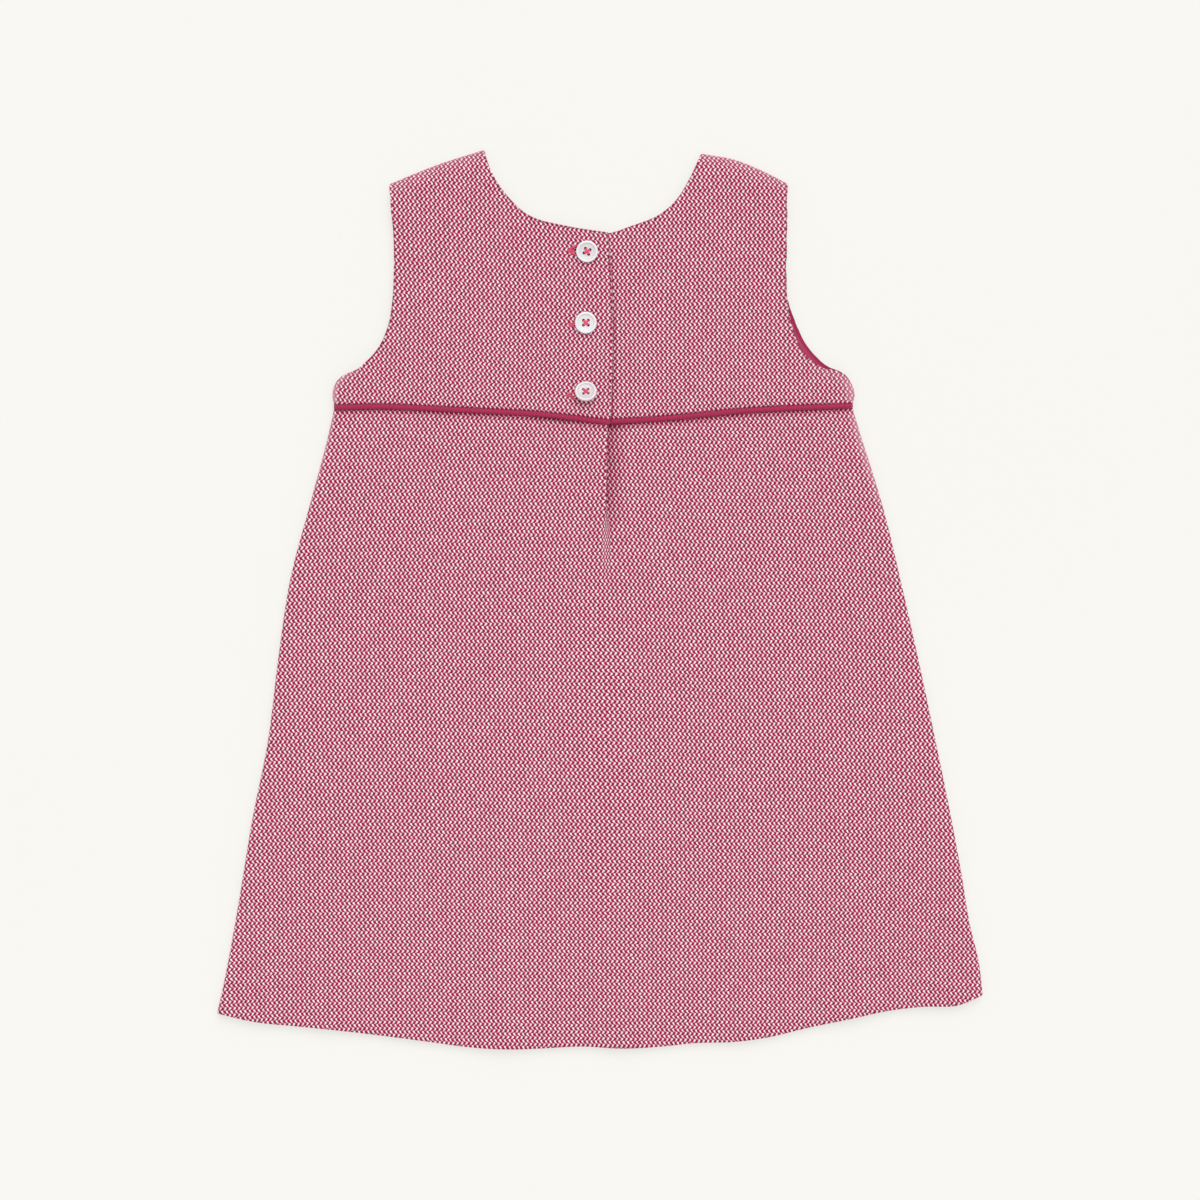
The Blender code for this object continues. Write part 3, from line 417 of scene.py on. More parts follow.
# The weave, in columns and rows: how its threads wander, and its light and dark grains.
DRIFT = Wander(scale=0.16, across=0.34, down=0.34)
SHAKE = Wander(scale=1.3, across=0.09, down=0.07)
GRAIN_CURVE, GRAIN_LEAN, GRAIN_BLUR = 0.6, 0.37, 0.05
LIGHT_GRAIN = Grain(even_x=0.78, odd_x=0.15, even_breadth=0.188, odd_breadth=0.172, spread=0.048,
                    height=0.60, tallest=0.42, seed=3.0)
DARK_GRAIN = Grain(even_x=0.30, odd_x=0.67, even_breadth=0.318, odd_breadth=0.318, spread=0.065,
                   height=0.51, tallest=0.46, seed=11.0)
# Places of the crossings along each row; their dark colour is partly a painted shadow.
LOW_CROSSINGS, HIGH_CROSSINGS = Spots(0.2, 0.85, 0.0), Spots(0.93, 0.4, -0.3)
EVEN_ROW_TINT = (0.9, 0.91, 0.95, 1.0)
PLAIN_RELIEF = 0.12      # of the plain cloth's threads

# The buttons with their thread and buttonholes.
BUTTON_RIM = (4.7, 5.0)  # the radii between which the pearl becomes even
PEARL_RINGS = 9.0
BUTTON_STEPS = 72
HOLE_SIDES = 20
DRILL_LENGTH = 10.0
STRAND_STEPS, STRAND_SIDES = 16, 10
SHANK_SIDES = 14
LEG_STEPS, LEG_SIDES = 12, 12
SHARP_EDGE = 40.0        # a crease of a button that is sharper than this many degrees stays crisp
STITCH_RADIUS = 0.34
STITCH_BESIDE = 0.3      # from the middle of a pair of strands to each of them
STITCH_FOOT = 1.45       # of the strands, over the button's foot
STITCH_RISES = (0.5, 0.85)
STITCH_SINK = 0.2        # where a strand ends, deep in its hole
STITCH_FULLNESS = 0.6
THREAD_PITCH = 0.7
EDGING_PITCH = 0.55
EDGING_UNEVENNESS, EDGING_BUMPS = 0.12, 31.0
LEG_SHIFT = 2.0          # between the bumps of one leg and the next
LEG_THICKENING = 3.0     # a leg is at its thickest from one third of its length on
STITCHED_EDGE = Bead(thin=0.3, thick=0.7, lift=0.0)
# The slit is a dark tube sunk in the cloth, a painted shadow in the buttonhole's opening.
SLIT = Bead(thin=0.3, thick=1.0, lift=-0.7)
SLIT_FROM, MIDDLE_LEG_TO = 0.6, 0.7                   # shares of the way through a buttonhole
SHANK = (
    Profile(1.3, -2.2), Profile(1.1, -1.4), Profile(1.0, -0.6), Profile(1.2, 0.1), Profile(0.9, 0.3),
)
# Section of a button, from its dished middle out over the raised rim and back under it.
BUTTON_SECTION = (
    Profile(0.0, 1.5), Profile(2.6, 1.53), Profile(3.6, 1.6), Profile(4.35, 1.7), Profile(4.6, 1.78),
    Profile(4.78, 2.02), Profile(4.95, 2.3), Profile(5.15, 2.4), Profile(5.5, 2.43), Profile(5.9, 2.38),
    Profile(6.19, 2.22), Profile(6.33, 1.85), Profile(BUTTON_RADIUS, 1.3), Profile(6.28, 0.85),
    Profile(6.05, 0.45), Profile(5.7, 0.15), Profile(BUTTON_FOOT_RADIUS, 0.0), Profile(0.0, 0.0),
)


# ------------------------------------------------------------------ curves and patches

def curve(points):
    """A smooth curve through points, as a function of 0 to 1 along its length."""
    places = np.array(points, dtype=float)
    steps = np.hypot(*np.diff(places, axis=0).T)
    knots = np.concatenate([[0.0], np.cumsum(steps)]) / steps.sum()
    slopes = np.gradient(places, knots, axis=0)

    def at(t):
        t = np.asarray(t, dtype=float)
        i = np.clip(np.searchsorted(knots, t, side="right") - 1, 0, len(knots) - 2)
        span = (knots[i + 1] - knots[i])[..., None]
        s = (t - knots[i])[..., None] / span
        start = (1 + 2 * s) * (1 - s) ** 2 * places[i] + s * (1 - s) ** 2 * span * slopes[i]
        end = s * s * (3 - 2 * s) * places[i + 1] - s * s * (1 - s) * span * slopes[i + 1]
        return start + end

    return at


def sampled(line):
    return line(np.linspace(0.0, 1.0, EDGE_SAMPLES + 1))


def part_of(line, start, end):
    return lambda t: line(start + (end - start) * np.asarray(t))


def joined(first, second, corner):
    """Two curves end to end, with their common corner at a share of the whole run."""
    def at(t):
        t = np.asarray(t, dtype=float)
        before = (t < corner)[..., None]
        return np.where(before, first(np.minimum(t / corner, 1.0)),
                        second(np.clip((t - corner) / (1 - corner), 0.0, 1.0)))

    return at


def level_line(points, start_x, end_x, rise=0.0):
    """The smooth curve through points between two places along X, moved up by rise."""
    line = sampled(curve(points))

    def at(u):
        x = start_x + (end_x - start_x) * np.asarray(u, dtype=float)
        return np.stack([x, np.interp(x, line[:, 0], line[:, 1]) + rise], axis=-1)

    return at


def patch(left, right, bottom, top):
    """The Coons patch between four edges that meet at their ends."""
    def at(u, v):
        p, q = np.asarray(u, dtype=float)[..., None], np.asarray(v, dtype=float)[..., None]
        across = (1 - p) * left(v) + p * right(v)
        along = (1 - q) * bottom(u) + q * top(u)
        ends = (1 - p) * ((1 - q) * left(0) + q * left(1)) + p * ((1 - q) * right(0) + q * right(1))
        return across + along - ends

    return at


def between(first, last, count):
    """The places that part the way from first to last into count steps, without the two ends."""
    return list(np.linspace(first, last, count + 1)[1:-1])


def up_to(first, last, count):
    """The same places with the last one."""
    return between(first, last, count) + [last]


def at_height(marks, y):
    """A table's value at heights y of the dress."""
    return np.interp(y, *zip(*marks))


def smooth_step(t):
    t = np.clip(t, 0.0, 1.0)
    return t * t * (3 - 2 * t)


def bell(t):
    return np.cos(np.minimum(np.abs(t), 1.0) * math.pi / 2) ** 2


def distance(x, y, points):
    """Shortest way from places to a line of points, in the plane."""
    place = np.stack([x, y], axis=-1)[..., None, :]
    starts, runs = points[:-1], np.diff(points, axis=0)
    shares = np.clip(np.sum((place - starts) * runs, axis=-1) / np.sum(runs * runs, axis=1), 0, 1)
    gaps = starts + shares[..., None] * runs - place
    return np.min(np.hypot(gaps[..., 0], gaps[..., 1]), axis=-1)


# ------------------------------------------------------------------ heights of the cloth

armhole_left = curve(ARMHOLE_LEFT)
armhole_right = curve(ARMHOLE_RIGHT)
BODICE_SIDES = (
    (sampled(part_of(armhole_left, 0.0, SIDE_SEAM_LEFT)), LEFT_ROLL),
    (sampled(part_of(armhole_right, 0.0, SIDE_SEAM_RIGHT)), RIGHT_ROLL),
)
SKIRT_SIDES = ((sampled(curve(SKIRT_LEFT)), LEFT_ROLL), (sampled(curve(SKIRT_RIGHT)), RIGHT_ROLL))
SHOULDERS = (sampled(curve(SHOULDER_LEFT)), sampled(curve(SHOULDER_RIGHT)))

# Where the roll of a side presses the cloth together.
BODICE_HAZE = (
    Haze(sampled(part_of(armhole_left, 0.0, 0.2)), y=118.0, half_height=22.0, reach=3.2, haze=0.8),
    Haze(sampled(part_of(armhole_right, 0.0, 0.24)), y=118.0, half_height=22.0, reach=6.5, haze=0.55),
)
SKIRT_HAZE = (
    Haze(SKIRT_SIDES[0][0], y=90.0, half_height=60.0, reach=2.2, haze=0.45),
    Haze(SKIRT_SIDES[1][0], y=88.0, half_height=55.0, reach=5.0, haze=0.5),
)
LAP_LINE = sampled(curve(LAP_EDGE))


def away_from(x, y, sides):
    """Distance of the nearest sewn side, and the width of its roll."""
    gaps = np.stack([distance(x, y, points) for points, _ in sides])
    rolls = np.array([roll for _, roll in sides])
    return np.min(gaps, axis=0), rolls[np.argmin(gaps, axis=0)]


def dips(table, x, y):
    """Height of the small dips, which run out softly at both ends."""
    level = np.zeros_like(x)
    for dip in table:
        middle, half = (dip.y_top + dip.y_foot) / 2, (dip.y_top - dip.y_foot) / 2
        line = dip.x + dip.lean * (middle - y)
        level += dip.rise * bell((x - line) / dip.half_width) * bell((y - middle) / half)
    return level


def back_level(x, y):
    """The back away from its lap and its pleat: rolled at the sides, a little sunk inside."""
    away, roll = away_from(x, y, BODICE_SIDES + SKIRT_SIDES)
    level = BACK_REST + BACK_RISE * np.sqrt(1 - (1 - np.minimum(away / roll, 1.0)) ** 2)
    level = level - BACK_SINK * smooth_step(away / SINK_REACH)
    from_shoulder = np.minimum(*(distance(x, y, points) for points in SHOULDERS))
    share = np.sin(math.pi / 2 * np.minimum(from_shoulder / SHOULDER_REACH, 1.0))
    return SHOULDER_REST + (level - SHOULDER_REST) * share


def waves(table, x, down):
    level = np.zeros_like(x)
    for wave in table:
        middle = wave.x_waist + (wave.x_end - wave.x_waist) * down
        growth = WAVE_AT_WAIST + (1 - WAVE_AT_WAIST) * down
        level += wave.rise * growth * bell((x - middle) / wave.half_width)
    return level


def inside_sides(x, y):
    return smooth_step(away_from(x, y, BODICE_SIDES + SKIRT_SIDES)[0] / WAVE_INSET)


def skirt_level(x, y):
    relief = waves(SKIRT_WAVES, x, (WAIST_Y - y) / SKIRT_HEIGHT) + dips(SKIRT_DIPS, x, y)
    return back_level(x, y) + relief * inside_sides(x, y)


def bodice_level(x, y):
    up = (y - WAIST_Y) / BODICE_HEIGHT
    relief = waves(BODICE_WAVES, x, 1 - np.abs(2 * up - 1)) + dips(BODICE_DIPS, x, y)
    return back_level(x, y) + relief * inside_sides(x, y)


def over_front_piping(y):
    return FRONT_PIPING_LIFT * bell((y - FRONT_WAIST_MIDDLE) / FRONT_PIPING_REACH)


def right_half_level(x, y):
    stand = STAND_LEVEL + over_front_piping(y)
    return stand + (bodice_level(x, y) - stand) * smooth_step((x - LAP_FLAT_TO) / LAP_EASE)


def left_half_level(x, y):
    lapped = STAND_LEVEL + over_front_piping(y) + LAYER + LAP_LIFT
    return lapped + (bodice_level(x, y) - lapped) * smooth_step((LAP_FLAT_FROM - x) / LAP_EASE)


def front_level(x, y, sides):
    """The front is flat on the table but for its sewn sides and a few low creases."""
    away = away_from(x, y, sides)[0]
    share = np.minimum(away / FRONT_ROLL, 1.0)
    curl = FRONT_CURL * smooth_step((UNDERARM_Y - y) / UNDERARM_FADE)
    creases = dips(FRONT_DIPS, x, y) * smooth_step(away / WAVE_INSET)
    return FRONT_LEVEL + curl * (1 - np.sqrt(1 - (1 - share) ** 2)) + creases


def front_bodice_level(x, y):
    return front_level(x, y, BODICE_SIDES)


def front_skirt_level(x, y):
    return front_level(x, y, SKIRT_SIDES)


# ------------------------------------------------------------------ how the weave runs

def summed(table, key, value, at):
    """The integral of a table's value over its key, from the key's first place to each place."""
    keys = np.array([getattr(row, key) for row in table])
    values = np.array([getattr(row, value) for row in table])
    order = np.argsort(keys)
    keys, values = keys[order], values[order]
    return np.interp(at, EVERY_MM, np.cumsum(np.interp(EVERY_MM, keys, values)))


def weave_place(x, y, leans, slopes, side, mixed=False):
    """Column and row pair of the weave at places of the flat cloth, both as smooth numbers.

    side is -1 left of the pleat or lap and +1 right of it; where mixed is true, the two sides
    run into each other below the pleat.
    """
    cloth = bpy.context.scene.dress_cloth
    left = -summed(leans, "y", "left", y)
    right = -summed(leans, "y", "right", y)
    change = at_height(LEAN_CHANGE, y)
    soft = smooth_step(0.5 + (x - PLEAT[0].fold_x) / (2 * change))
    sharp = smooth_step((LEAN_CHANGE[0].value - change) / LEAN_SHARPENING) if mixed else 1.0
    share = soft + (0.5 + 0.5 * side - soft) * sharp
    column = (x - left - (right - left) * share) / (cloth.column / MM)
    tall = np.interp(y, EVERY_MM, np.cumsum(1.0 / at_height(ROW_SHARES, EVERY_MM)))
    row_pair = -(tall + summed(slopes, "x", "slope", x)) / (cloth.row_pair / MM)
    return column, row_pair


# ------------------------------------------------------------------ meshes

def linked(name, mesh, finish):
    """A new object at the origin, with its one material."""
    made = bpy.data.objects.new(name, mesh)
    mesh.materials.append(finish)
    bpy.context.scene.collection.objects.link(made)
    return made


def mesh_of(name, work):
    mesh = bpy.data.meshes.new(name)
    work.to_mesh(mesh)
    work.free()
    return mesh


def outward(vertex):
    """The way out of a panel in the plane at a border vertex, mitred at corners."""
    total = np.zeros(2)
    for edge in vertex.link_edges:
        if not edge.is_boundary:
            continue
        run = edge.verts[1].co - edge.verts[0].co
        across = np.array((run.y, -run.x))
        size = np.hypot(*across)
        if size < TINY:
            continue
        middle = (edge.verts[0].co + edge.verts[1].co) / 2
        inner = edge.link_faces[0].calc_center_median() - middle
        across /= size
        total += across if across @ (inner.x, inner.y) < 0 else -across
    size = max(np.hypot(*total), TINY)
    return total / size * min(2 / size, LONGEST_MITRE)


def panel(name, places, weave, edge_of, side, thickness, finish, shade=None, cut=1):
    """A shell of cloth over rows of places, its borders turned as edge_of(row, column) says.

    weave has each place's column and row pair; shade has how deep in painted shadow its yarn
    looks, or below nothing how hazy, as where the cloth is pressed together on a roll, and
    on its rolled edges a painted light.
    side is -1 where the borders turn down, as on the back, and +1 where they turn up.
    cut is -1 where the piece is cut from the cloth upside down.
    """
    shade = np.zeros(places.shape[:2]) if shade is None else shade
    rows, columns = places.shape[0] - 1, places.shape[1] - 1
    work = bmesh.new()
    bmesh.ops.create_grid(work, x_segments=columns, y_segments=rows, size=0.5)
    across = work.verts.layers.float.new("across")
    down = work.verts.layers.float.new("down")
    dim = work.verts.layers.float.new("shade")
    number = work.verts.layers.int.new("number")
    borders = []
    for vertex in work.verts:
        row, column = round((vertex.co.y + 0.5) * rows), round((vertex.co.x + 0.5) * columns)
        vertex.co = places[row, column] * MM
        vertex[across], vertex[down] = weave[row, column]
        vertex[dim] = shade[row, column]
        if vertex.is_boundary:
            borders.append((vertex, edge_of(row, column)))
    cloth = bpy.context.scene.dress_cloth
    ways = [outward(vertex) if fixed is None else np.array(fixed) for vertex, (_, fixed) in borders]
    starts = []
    for (vertex, (kind, _)), way in zip(borders, ways):
        vertex[number] = len(starts)
        vertex.co.x -= way[0] * kind.inset * MM
        vertex.co.y -= way[1] * kind.inset * MM
        vertex[across] -= way[0] * kind.inset * MM / cloth.column
        vertex[down] += way[1] * kind.inset * MM / cloth.row_pair
        starts.append((vertex.co.copy(), way, kind, vertex[across], vertex[down]))
    border = [edge for edge in work.edges if edge.is_boundary]
    for step in range(len(FREE_EDGE.turns)):
        grown = bmesh.ops.extrude_edge_only(work, edges=border)["geom"]
        border = [part for part in grown if isinstance(part, bmesh.types.BMEdge)]
        for vertex in (part for part in grown if isinstance(part, bmesh.types.BMVert)):
            place, way, kind, column, row_pair = starts[vertex[number]]
            turn = kind.turns[step]
            vertex.co.x = place.x + way[0] * turn.out * MM
            vertex.co.y = place.y + way[1] * turn.out * MM
            vertex.co.z = place.z + side * turn.down * MM
            along = math.hypot(max(turn.out, 0.0), turn.down) + max(-turn.out, 0.0)
            vertex[across] = column + way[0] * along * MM / cloth.column
            vertex[down] = row_pair - way[1] * along * MM / cloth.row_pair
            vertex[dim] = kind.shade or vertex[dim]
    bmesh.ops.recalc_face_normals(work, faces=work.faces)
    middle = min(work.faces, key=lambda face: face.calc_center_median().length)
    if middle.normal.z * -side < 0:
        bmesh.ops.reverse_faces(work, faces=work.faces)
    layer = work.loops.layers.uv.new("weave")
    for face in work.faces:
        for loop in face.loops:
            loop[layer].uv = (cut * loop.vert[across], cut * loop.vert[down])
    mesh = mesh_of(name, work)
    mesh.shade_smooth()
    made = linked(name, mesh, finish)
    wall = made.modifiers.new("wall", "SOLIDIFY")
    wall.thickness = thickness * MM
    wall.offset = 0.0
    wall.use_quality_normals = True
    return made


def spread(first, last, size):
    """Places from first to last about size apart, without the two ends."""
    return between(first, last, max(round(abs(last - first) / size), 1))


def rim_shares(width, roll):
    """Columns over the roll of a panel's left side, as shares of its width."""
    return [roll * (1 - math.cos(math.radians(turn))) / width for turn in RIM_TURNS]


def end_rim_shares(width, roll):
    """The same columns at a panel's right side."""
    return [1 - share for share in reversed(rim_shares(width, roll))]


def shoulder_turn(x, y):
    """How far the cloth has turned down towards a shoulder: nothing inside, 1 at the seam."""
    away = np.minimum(*(distance(x, y, points) for points in SHOULDERS))
    return (1 - np.minimum(away / SHOULDER_TURN, 1.0)) ** 2


def bodice_rows():
    """Rows from the waist to the shoulder, close together where the shoulder comes down."""
    ends = [1 - away / BODICE_HEIGHT for away in ROWS_TO_SHOULDER]
    foot = [up / BODICE_HEIGHT for up in BODICE_FOOT]
    return foot + spread(foot[-1], ends[0], CELL / BODICE_HEIGHT) + ends


def foot_shade(rows):
    """Shade of each row of the bodice: dark where it meets the piping, and no limit above that."""
    away = np.array(rows)[:, None] * BODICE_HEIGHT / BODICE_FOOT[-1]
    return np.where(away < 1.0, FOOT_SHADE * (1 - smooth_step(away)), -1.0)


def hazy_sides(x, y, table):
    """How hazy the cloth is where a side's roll presses it together."""
    haze = np.zeros_like(x)
    for row in table:
        near = distance(x, y, row.side)
        haze += row.haze * (1 - smooth_step(near / row.reach)) * bell((y - row.y) / row.half_height)
    return haze


def lifted(outline, columns, rows, level, shift):
    """Places of a panel: the outline's patch in the plane, at the height that level gives."""
    shares = np.array([columns(outline(1, v)[0] - outline(0, v)[0]) for v in rows])
    flat = outline(shares, np.repeat(np.array(rows)[:, None], shares.shape[1], axis=1))
    height = level(flat[..., 0], flat[..., 1]) + shift
    return np.concatenate([flat, height[..., None]], axis=-1)


def arc_added(x, z):
    """How much further each column is along the cloth than across the table, by row."""
    steps = np.hypot(np.diff(x, axis=1), np.diff(z, axis=1))
    extra = np.cumsum(steps - np.abs(np.diff(x, axis=1)), axis=1)
    extra = np.concatenate([np.zeros((len(x), 1)), extra], axis=1)
    return extra - extra[:, [x.shape[1] // 2]]


def woven(places, leans, slopes, side):
    """The weave's column and row pair at each place of a panel."""
    x, y, z = np.moveaxis(places, -1, 0)
    cloth = bpy.context.scene.dress_cloth
    column, row_pair = weave_place(x, y, leans, slopes, side)
    row_pair = row_pair - SHOULDER_ADDED * shoulder_turn(x, y) * MM / cloth.row_pair
    return np.stack([column + arc_added(x, z) * MM / cloth.column, row_pair], axis=-1)


def tube(name, route, radii, sides, thread, finish, beside=(0.0, 1.0, 0.0), lowest=None,
         shades=()):
    """A cord along places with a radius each, its pattern running round and along it.

    beside is a way that the cord never runs; lowest is a height that it is pressed flat on;
    shades are those of its corners from that way on, up and down.
    """
    route, radii = np.array(route, dtype=float), np.array(radii, dtype=float)
    ahead = np.gradient(route, axis=0)
    ahead /= np.linalg.norm(ahead, axis=1)[:, None]
    across = np.array(beside) - (ahead @ np.array(beside))[:, None] * ahead
    across /= np.linalg.norm(across, axis=1)[:, None]
    up = np.cross(ahead, across)
    along = np.concatenate([[0.0], np.cumsum(np.linalg.norm(np.diff(route, axis=0), axis=1))])
    rings = len(route) - 1
    work = bmesh.new()
    bmesh.ops.create_grid(work, x_segments=sides, y_segments=rings, size=0.5)
    layer = work.loops.layers.uv.new("weave")
    dim = work.verts.layers.float.new("shade")
    around = 2 * math.pi * max(radii)
    numbers = {}
    for vertex in work.verts:
        ring, corner = round((vertex.co.y + 0.5) * rings), round((vertex.co.x + 0.5) * sides)
        turn = 2 * math.pi * corner / sides
        place = route[ring] + radii[ring] * (math.cos(turn) * across[ring] + math.sin(turn) * up[ring])
        if lowest is not None:
            place[2] = max(place[2], lowest)
        vertex.co = place * MM
        beyond = min(corner, sides - corner)
        vertex[dim] = shades[beyond] if beyond < len(shades) else 0.0
        numbers[vertex.index] = (around * corner / sides / thread, along[ring] / thread)
    for face in work.faces:
        for loop in face.loops:
            loop[layer].uv = numbers[loop.vert.index]
    bmesh.ops.remove_doubles(work, verts=work.verts, dist=SAME_PLACE * MM)
    bmesh.ops.recalc_face_normals(work, faces=work.faces)
    mesh = mesh_of(name, work)
    mesh.shade_smooth()
    return linked(name, mesh, finish)


def rounded_ends(route, radius):
    """The route and its radii with a round end added before the first and after the last place."""
    route = [np.array(place, dtype=float) for place in route]
    first, last = route[0] - route[1], route[-1] - route[-2]
    first, last = first / np.linalg.norm(first), last / np.linalg.norm(last)
    turns = up_to(0.0, math.pi / 2, CORD_END_STEPS)
    start = [(route[0] + first * radius * math.sin(turn), radius * math.cos(turn)) for turn in turns]
    end = [(route[-1] + last * radius * math.sin(turn), radius * math.cos(turn)) for turn in turns]
    whole = start[::-1] + [(place, radius) for place in route] + end
    return [place for place, _ in whole], [size for _, size in whole]


# ------------------------------------------------------------------ materials

def in_linear_light(colour):
    shares = [c / 255 for c in colour]
    return tuple(s / 12.92 if s <= 0.04045 else ((s + 0.055) / 1.055) ** 2.4 for s in shares)


class Desk:
    """Adds nodes to one node tree, and links what they are given."""

    def __init__(self, tree):
        self.tree = tree

    def feed(self, socket, value):
        if isinstance(value, bpy.types.NodeSocket):
            self.tree.links.new(value, socket)
        elif value is not None:
            socket.default_value = value

    def add(self, kind, inputs=None, **settings):
        node = self.tree.nodes.new(kind)
        for name, value in settings.items():
            setattr(node, name, value)
        for name, value in (inputs or {}).items():
            self.feed(node.inputs[name], value)
        return node

    def calc(self, operation, first, second=None, third=None, clamp=False):
        node = self.add("ShaderNodeMath", operation=operation, use_clamp=clamp)
        for socket, value in zip(node.inputs, (first, second, third)):
            self.feed(socket, value)
        return node.outputs[0]

    def fade(self, value, start, end, low=0.0, high=1.0):
        """A smooth change from low to high while value goes from start to end."""
        node = self.add("ShaderNodeMapRange", interpolation_type="SMOOTHSTEP")
        for name, number in (("Value", value), ("From Min", start), ("From Max", end),
                             ("To Min", low), ("To Max", high)):
            self.feed(node.inputs[name], number)
        return node.outputs["Result"]

    def blend(self, share, first, second, kind="MIX"):
        node = self.add("ShaderNodeMix", data_type="RGBA", blend_type=kind)
        self.feed(node.inputs["Factor"], share)
        self.feed(node.inputs[6], first)
        self.feed(node.inputs[7], second)
        return node.outputs[2]

    def noise(self, place, scale, detail=2.0, roughness=0.5):
        node = self.add("ShaderNodeTexNoise", {"Scale": scale, "Detail": detail,
                                               "Roughness": roughness})
        self.feed(node.inputs["Vector"], place)
        return node.outputs

    def joined(self, x, y, z):
        node = self.add("ShaderNodeCombineXYZ")
        for socket, value in zip(node.inputs, (x, y, z)):
            self.feed(socket, value)
        return node.outputs[0]

    def shade_and_haze(self, value):
        """How far a value is above nothing, and how far below, up to 1."""
        below = self.calc("MULTIPLY", value, -1.0)
        return self.calc("MAXIMUM", value, 0.0, clamp=True), self.calc("MAXIMUM", below, 0.0, clamp=True)

    def split(self, vector):
        node = self.add("ShaderNodeSeparateXYZ")
        self.feed(node.inputs[0], vector)
        return node.outputs


def new_group(name, inputs, outputs):
    """A node group with named sockets: (name, socket kind, default) each."""
    tree = bpy.data.node_groups.new(name, "ShaderNodeTree")
    for label, kind, default in inputs:
        socket = tree.interface.new_socket(label, in_out="INPUT", socket_type=kind)
        socket.default_value = default
    for label, kind in outputs:
        tree.interface.new_socket(label, in_out="OUTPUT", socket_type=kind)
    desk = Desk(tree)
    return tree, desk, desk.add("NodeGroupInput").outputs, desk.add("NodeGroupOutput").inputs


def group_named(name, build):
    return bpy.data.node_groups.get(name) or build(name)


def build_tweed_weave(name):
    """Two rows of slanting grains that lean against each other, light yarn beside dark yarn."""
    colour, number, vector = "NodeSocketColor", "NodeSocketFloat", "NodeSocketVector"
    tree, desk, given, wanted = new_group(
        name,
        (("Place", vector, (0.0, 0.0, 0.0)), ("Light Yarn", colour, (1.0, 1.0, 1.0, 1.0)),
         ("Light Shade", colour, (0.8, 0.5, 0.6, 1.0)), ("Between", colour, (0.5, 0.2, 0.3, 1.0)),
         ("Crossings", colour, (0.2, 0.05, 0.07, 1.0)), ("Dark Yarn", colour, (0.4, 0.02, 0.07, 1.0)),
         ("Depths", colour, (0.2, 0.0, 0.03, 1.0)), ("Haze", colour, (0.7, 0.4, 0.5, 1.0)),
         ("In Shadow", colour, (0.3, 0.12, 0.16, 1.0)), ("Unevenness", number, 1.0),
         ("Shade", number, 0.0)),
        (("Color", colour), ("Height", number), ("Roughness", number)))
    calc, fade, blend = desk.calc, desk.fade, desk.blend

    # Rows and columns drift slowly over the cloth, and shake from grain to grain.
    slow = desk.split(desk.noise(given["Place"], DRIFT.scale, 2.0)["Color"])
    quick = desk.split(desk.noise(given["Place"], SHAKE.scale, 1.0)["Color"])
    place = desk.split(given["Place"])
    wander = []
    for k, (far, near) in enumerate(((DRIFT.across, SHAKE.across), (DRIFT.down, SHAKE.down))):
        drift = calc("MULTIPLY", calc("SUBTRACT", slow[k], 0.5), far)
        shake = calc("MULTIPLY", calc("SUBTRACT", quick[k], 0.5), near)
        wander.append(calc("MULTIPLY", calc("ADD", drift, shake), given["Unevenness"]))
    across = calc("ADD", place[0], wander[0])
    down = calc("MULTIPLY", calc("ADD", place[1], wander[1]), 2.0)

    # Each row's grains lean one way, and the next row's the other way.
    row = calc("FLOOR", down)
    within = calc("SUBTRACT", down, row)
    off = calc("SUBTRACT", within, 0.5)
    square = calc("MULTIPLY", off, off)
    odd = calc("SUBTRACT", row, calc("MULTIPLY", calc("FLOOR", calc("MULTIPLY", row, 0.5)), 2.0))

    def by_row(even_value, odd_value):
        if even_value == odd_value:
            return even_value
        node = desk.add("ShaderNodeMix", data_type="FLOAT")
        for socket, value in zip(node.inputs[:4], (odd, None, even_value, odd_value)):
            desk.feed(socket, value)
        return node.outputs[0]

    shade, haze = desk.shade_and_haze(given["Shade"])

    # A grain stands upright at its top and leans further and further towards its foot.
    lean = calc("MULTIPLY_ADD", square, GRAIN_CURVE, calc("MULTIPLY", off, GRAIN_LEAN))
    lean = calc("MULTIPLY", lean, by_row(-1.0, 1.0))

    def grain(kind, growth):
        """Mask, own chances and way from the edge of one kind of grain."""
        beside = calc("SUBTRACT", across, calc("ADD", lean, by_row(kind.even_x, kind.odd_x)))
        count = calc("FLOOR", calc("ADD", beside, 0.5))
        far = calc("ABSOLUTE", calc("SUBTRACT", beside, count))
        own = desk.add("ShaderNodeTexWhiteNoise", {"Vector": desk.joined(count, row, kind.seed)},
                       noise_dimensions="3D")
        chance = desk.split(own.outputs["Color"])
        reach = calc("DIVIDE", calc("SUBTRACT", within, kind.tallest), kind.height)
        left = calc("SUBTRACT", 1.0, calc("MULTIPLY", reach, reach))
        round_off = calc("SQRT", calc("MAXIMUM", left, 0.0))
        breadth = by_row(kind.even_breadth, kind.odd_breadth)
        half = calc("MULTIPLY", calc("MULTIPLY_ADD", chance[0], kind.spread, breadth), round_off)
        inside = calc("SUBTRACT", calc("MULTIPLY", half, growth), far)
        return fade(inside, -GRAIN_BLUR, GRAIN_BLUR), chance, inside

    # Shade narrows the light grains, and the dark ones narrow towards their feet.
    light, own, light_inside = grain(LIGHT_GRAIN, calc("MULTIPLY_ADD", shade, -0.75, 1.0))
    dark, mood, dark_inside = grain(DARK_GRAIN, calc("MULTIPLY_ADD", off, -0.3, 1.02))

    # Between the grains the yarn is mixed, with a dark crossing at every other border of rows: mixed yarn
    # with a painted shadow where the rows meet.
    def spots(kind):
        swing = calc("COSINE", calc("MULTIPLY", calc("SUBTRACT", across, kind.x), 2 * math.pi))
        return calc("MULTIPLY_ADD", swing, (kind.most - kind.least) / 2, (kind.most + kind.least) / 2,
                    clamp=True)

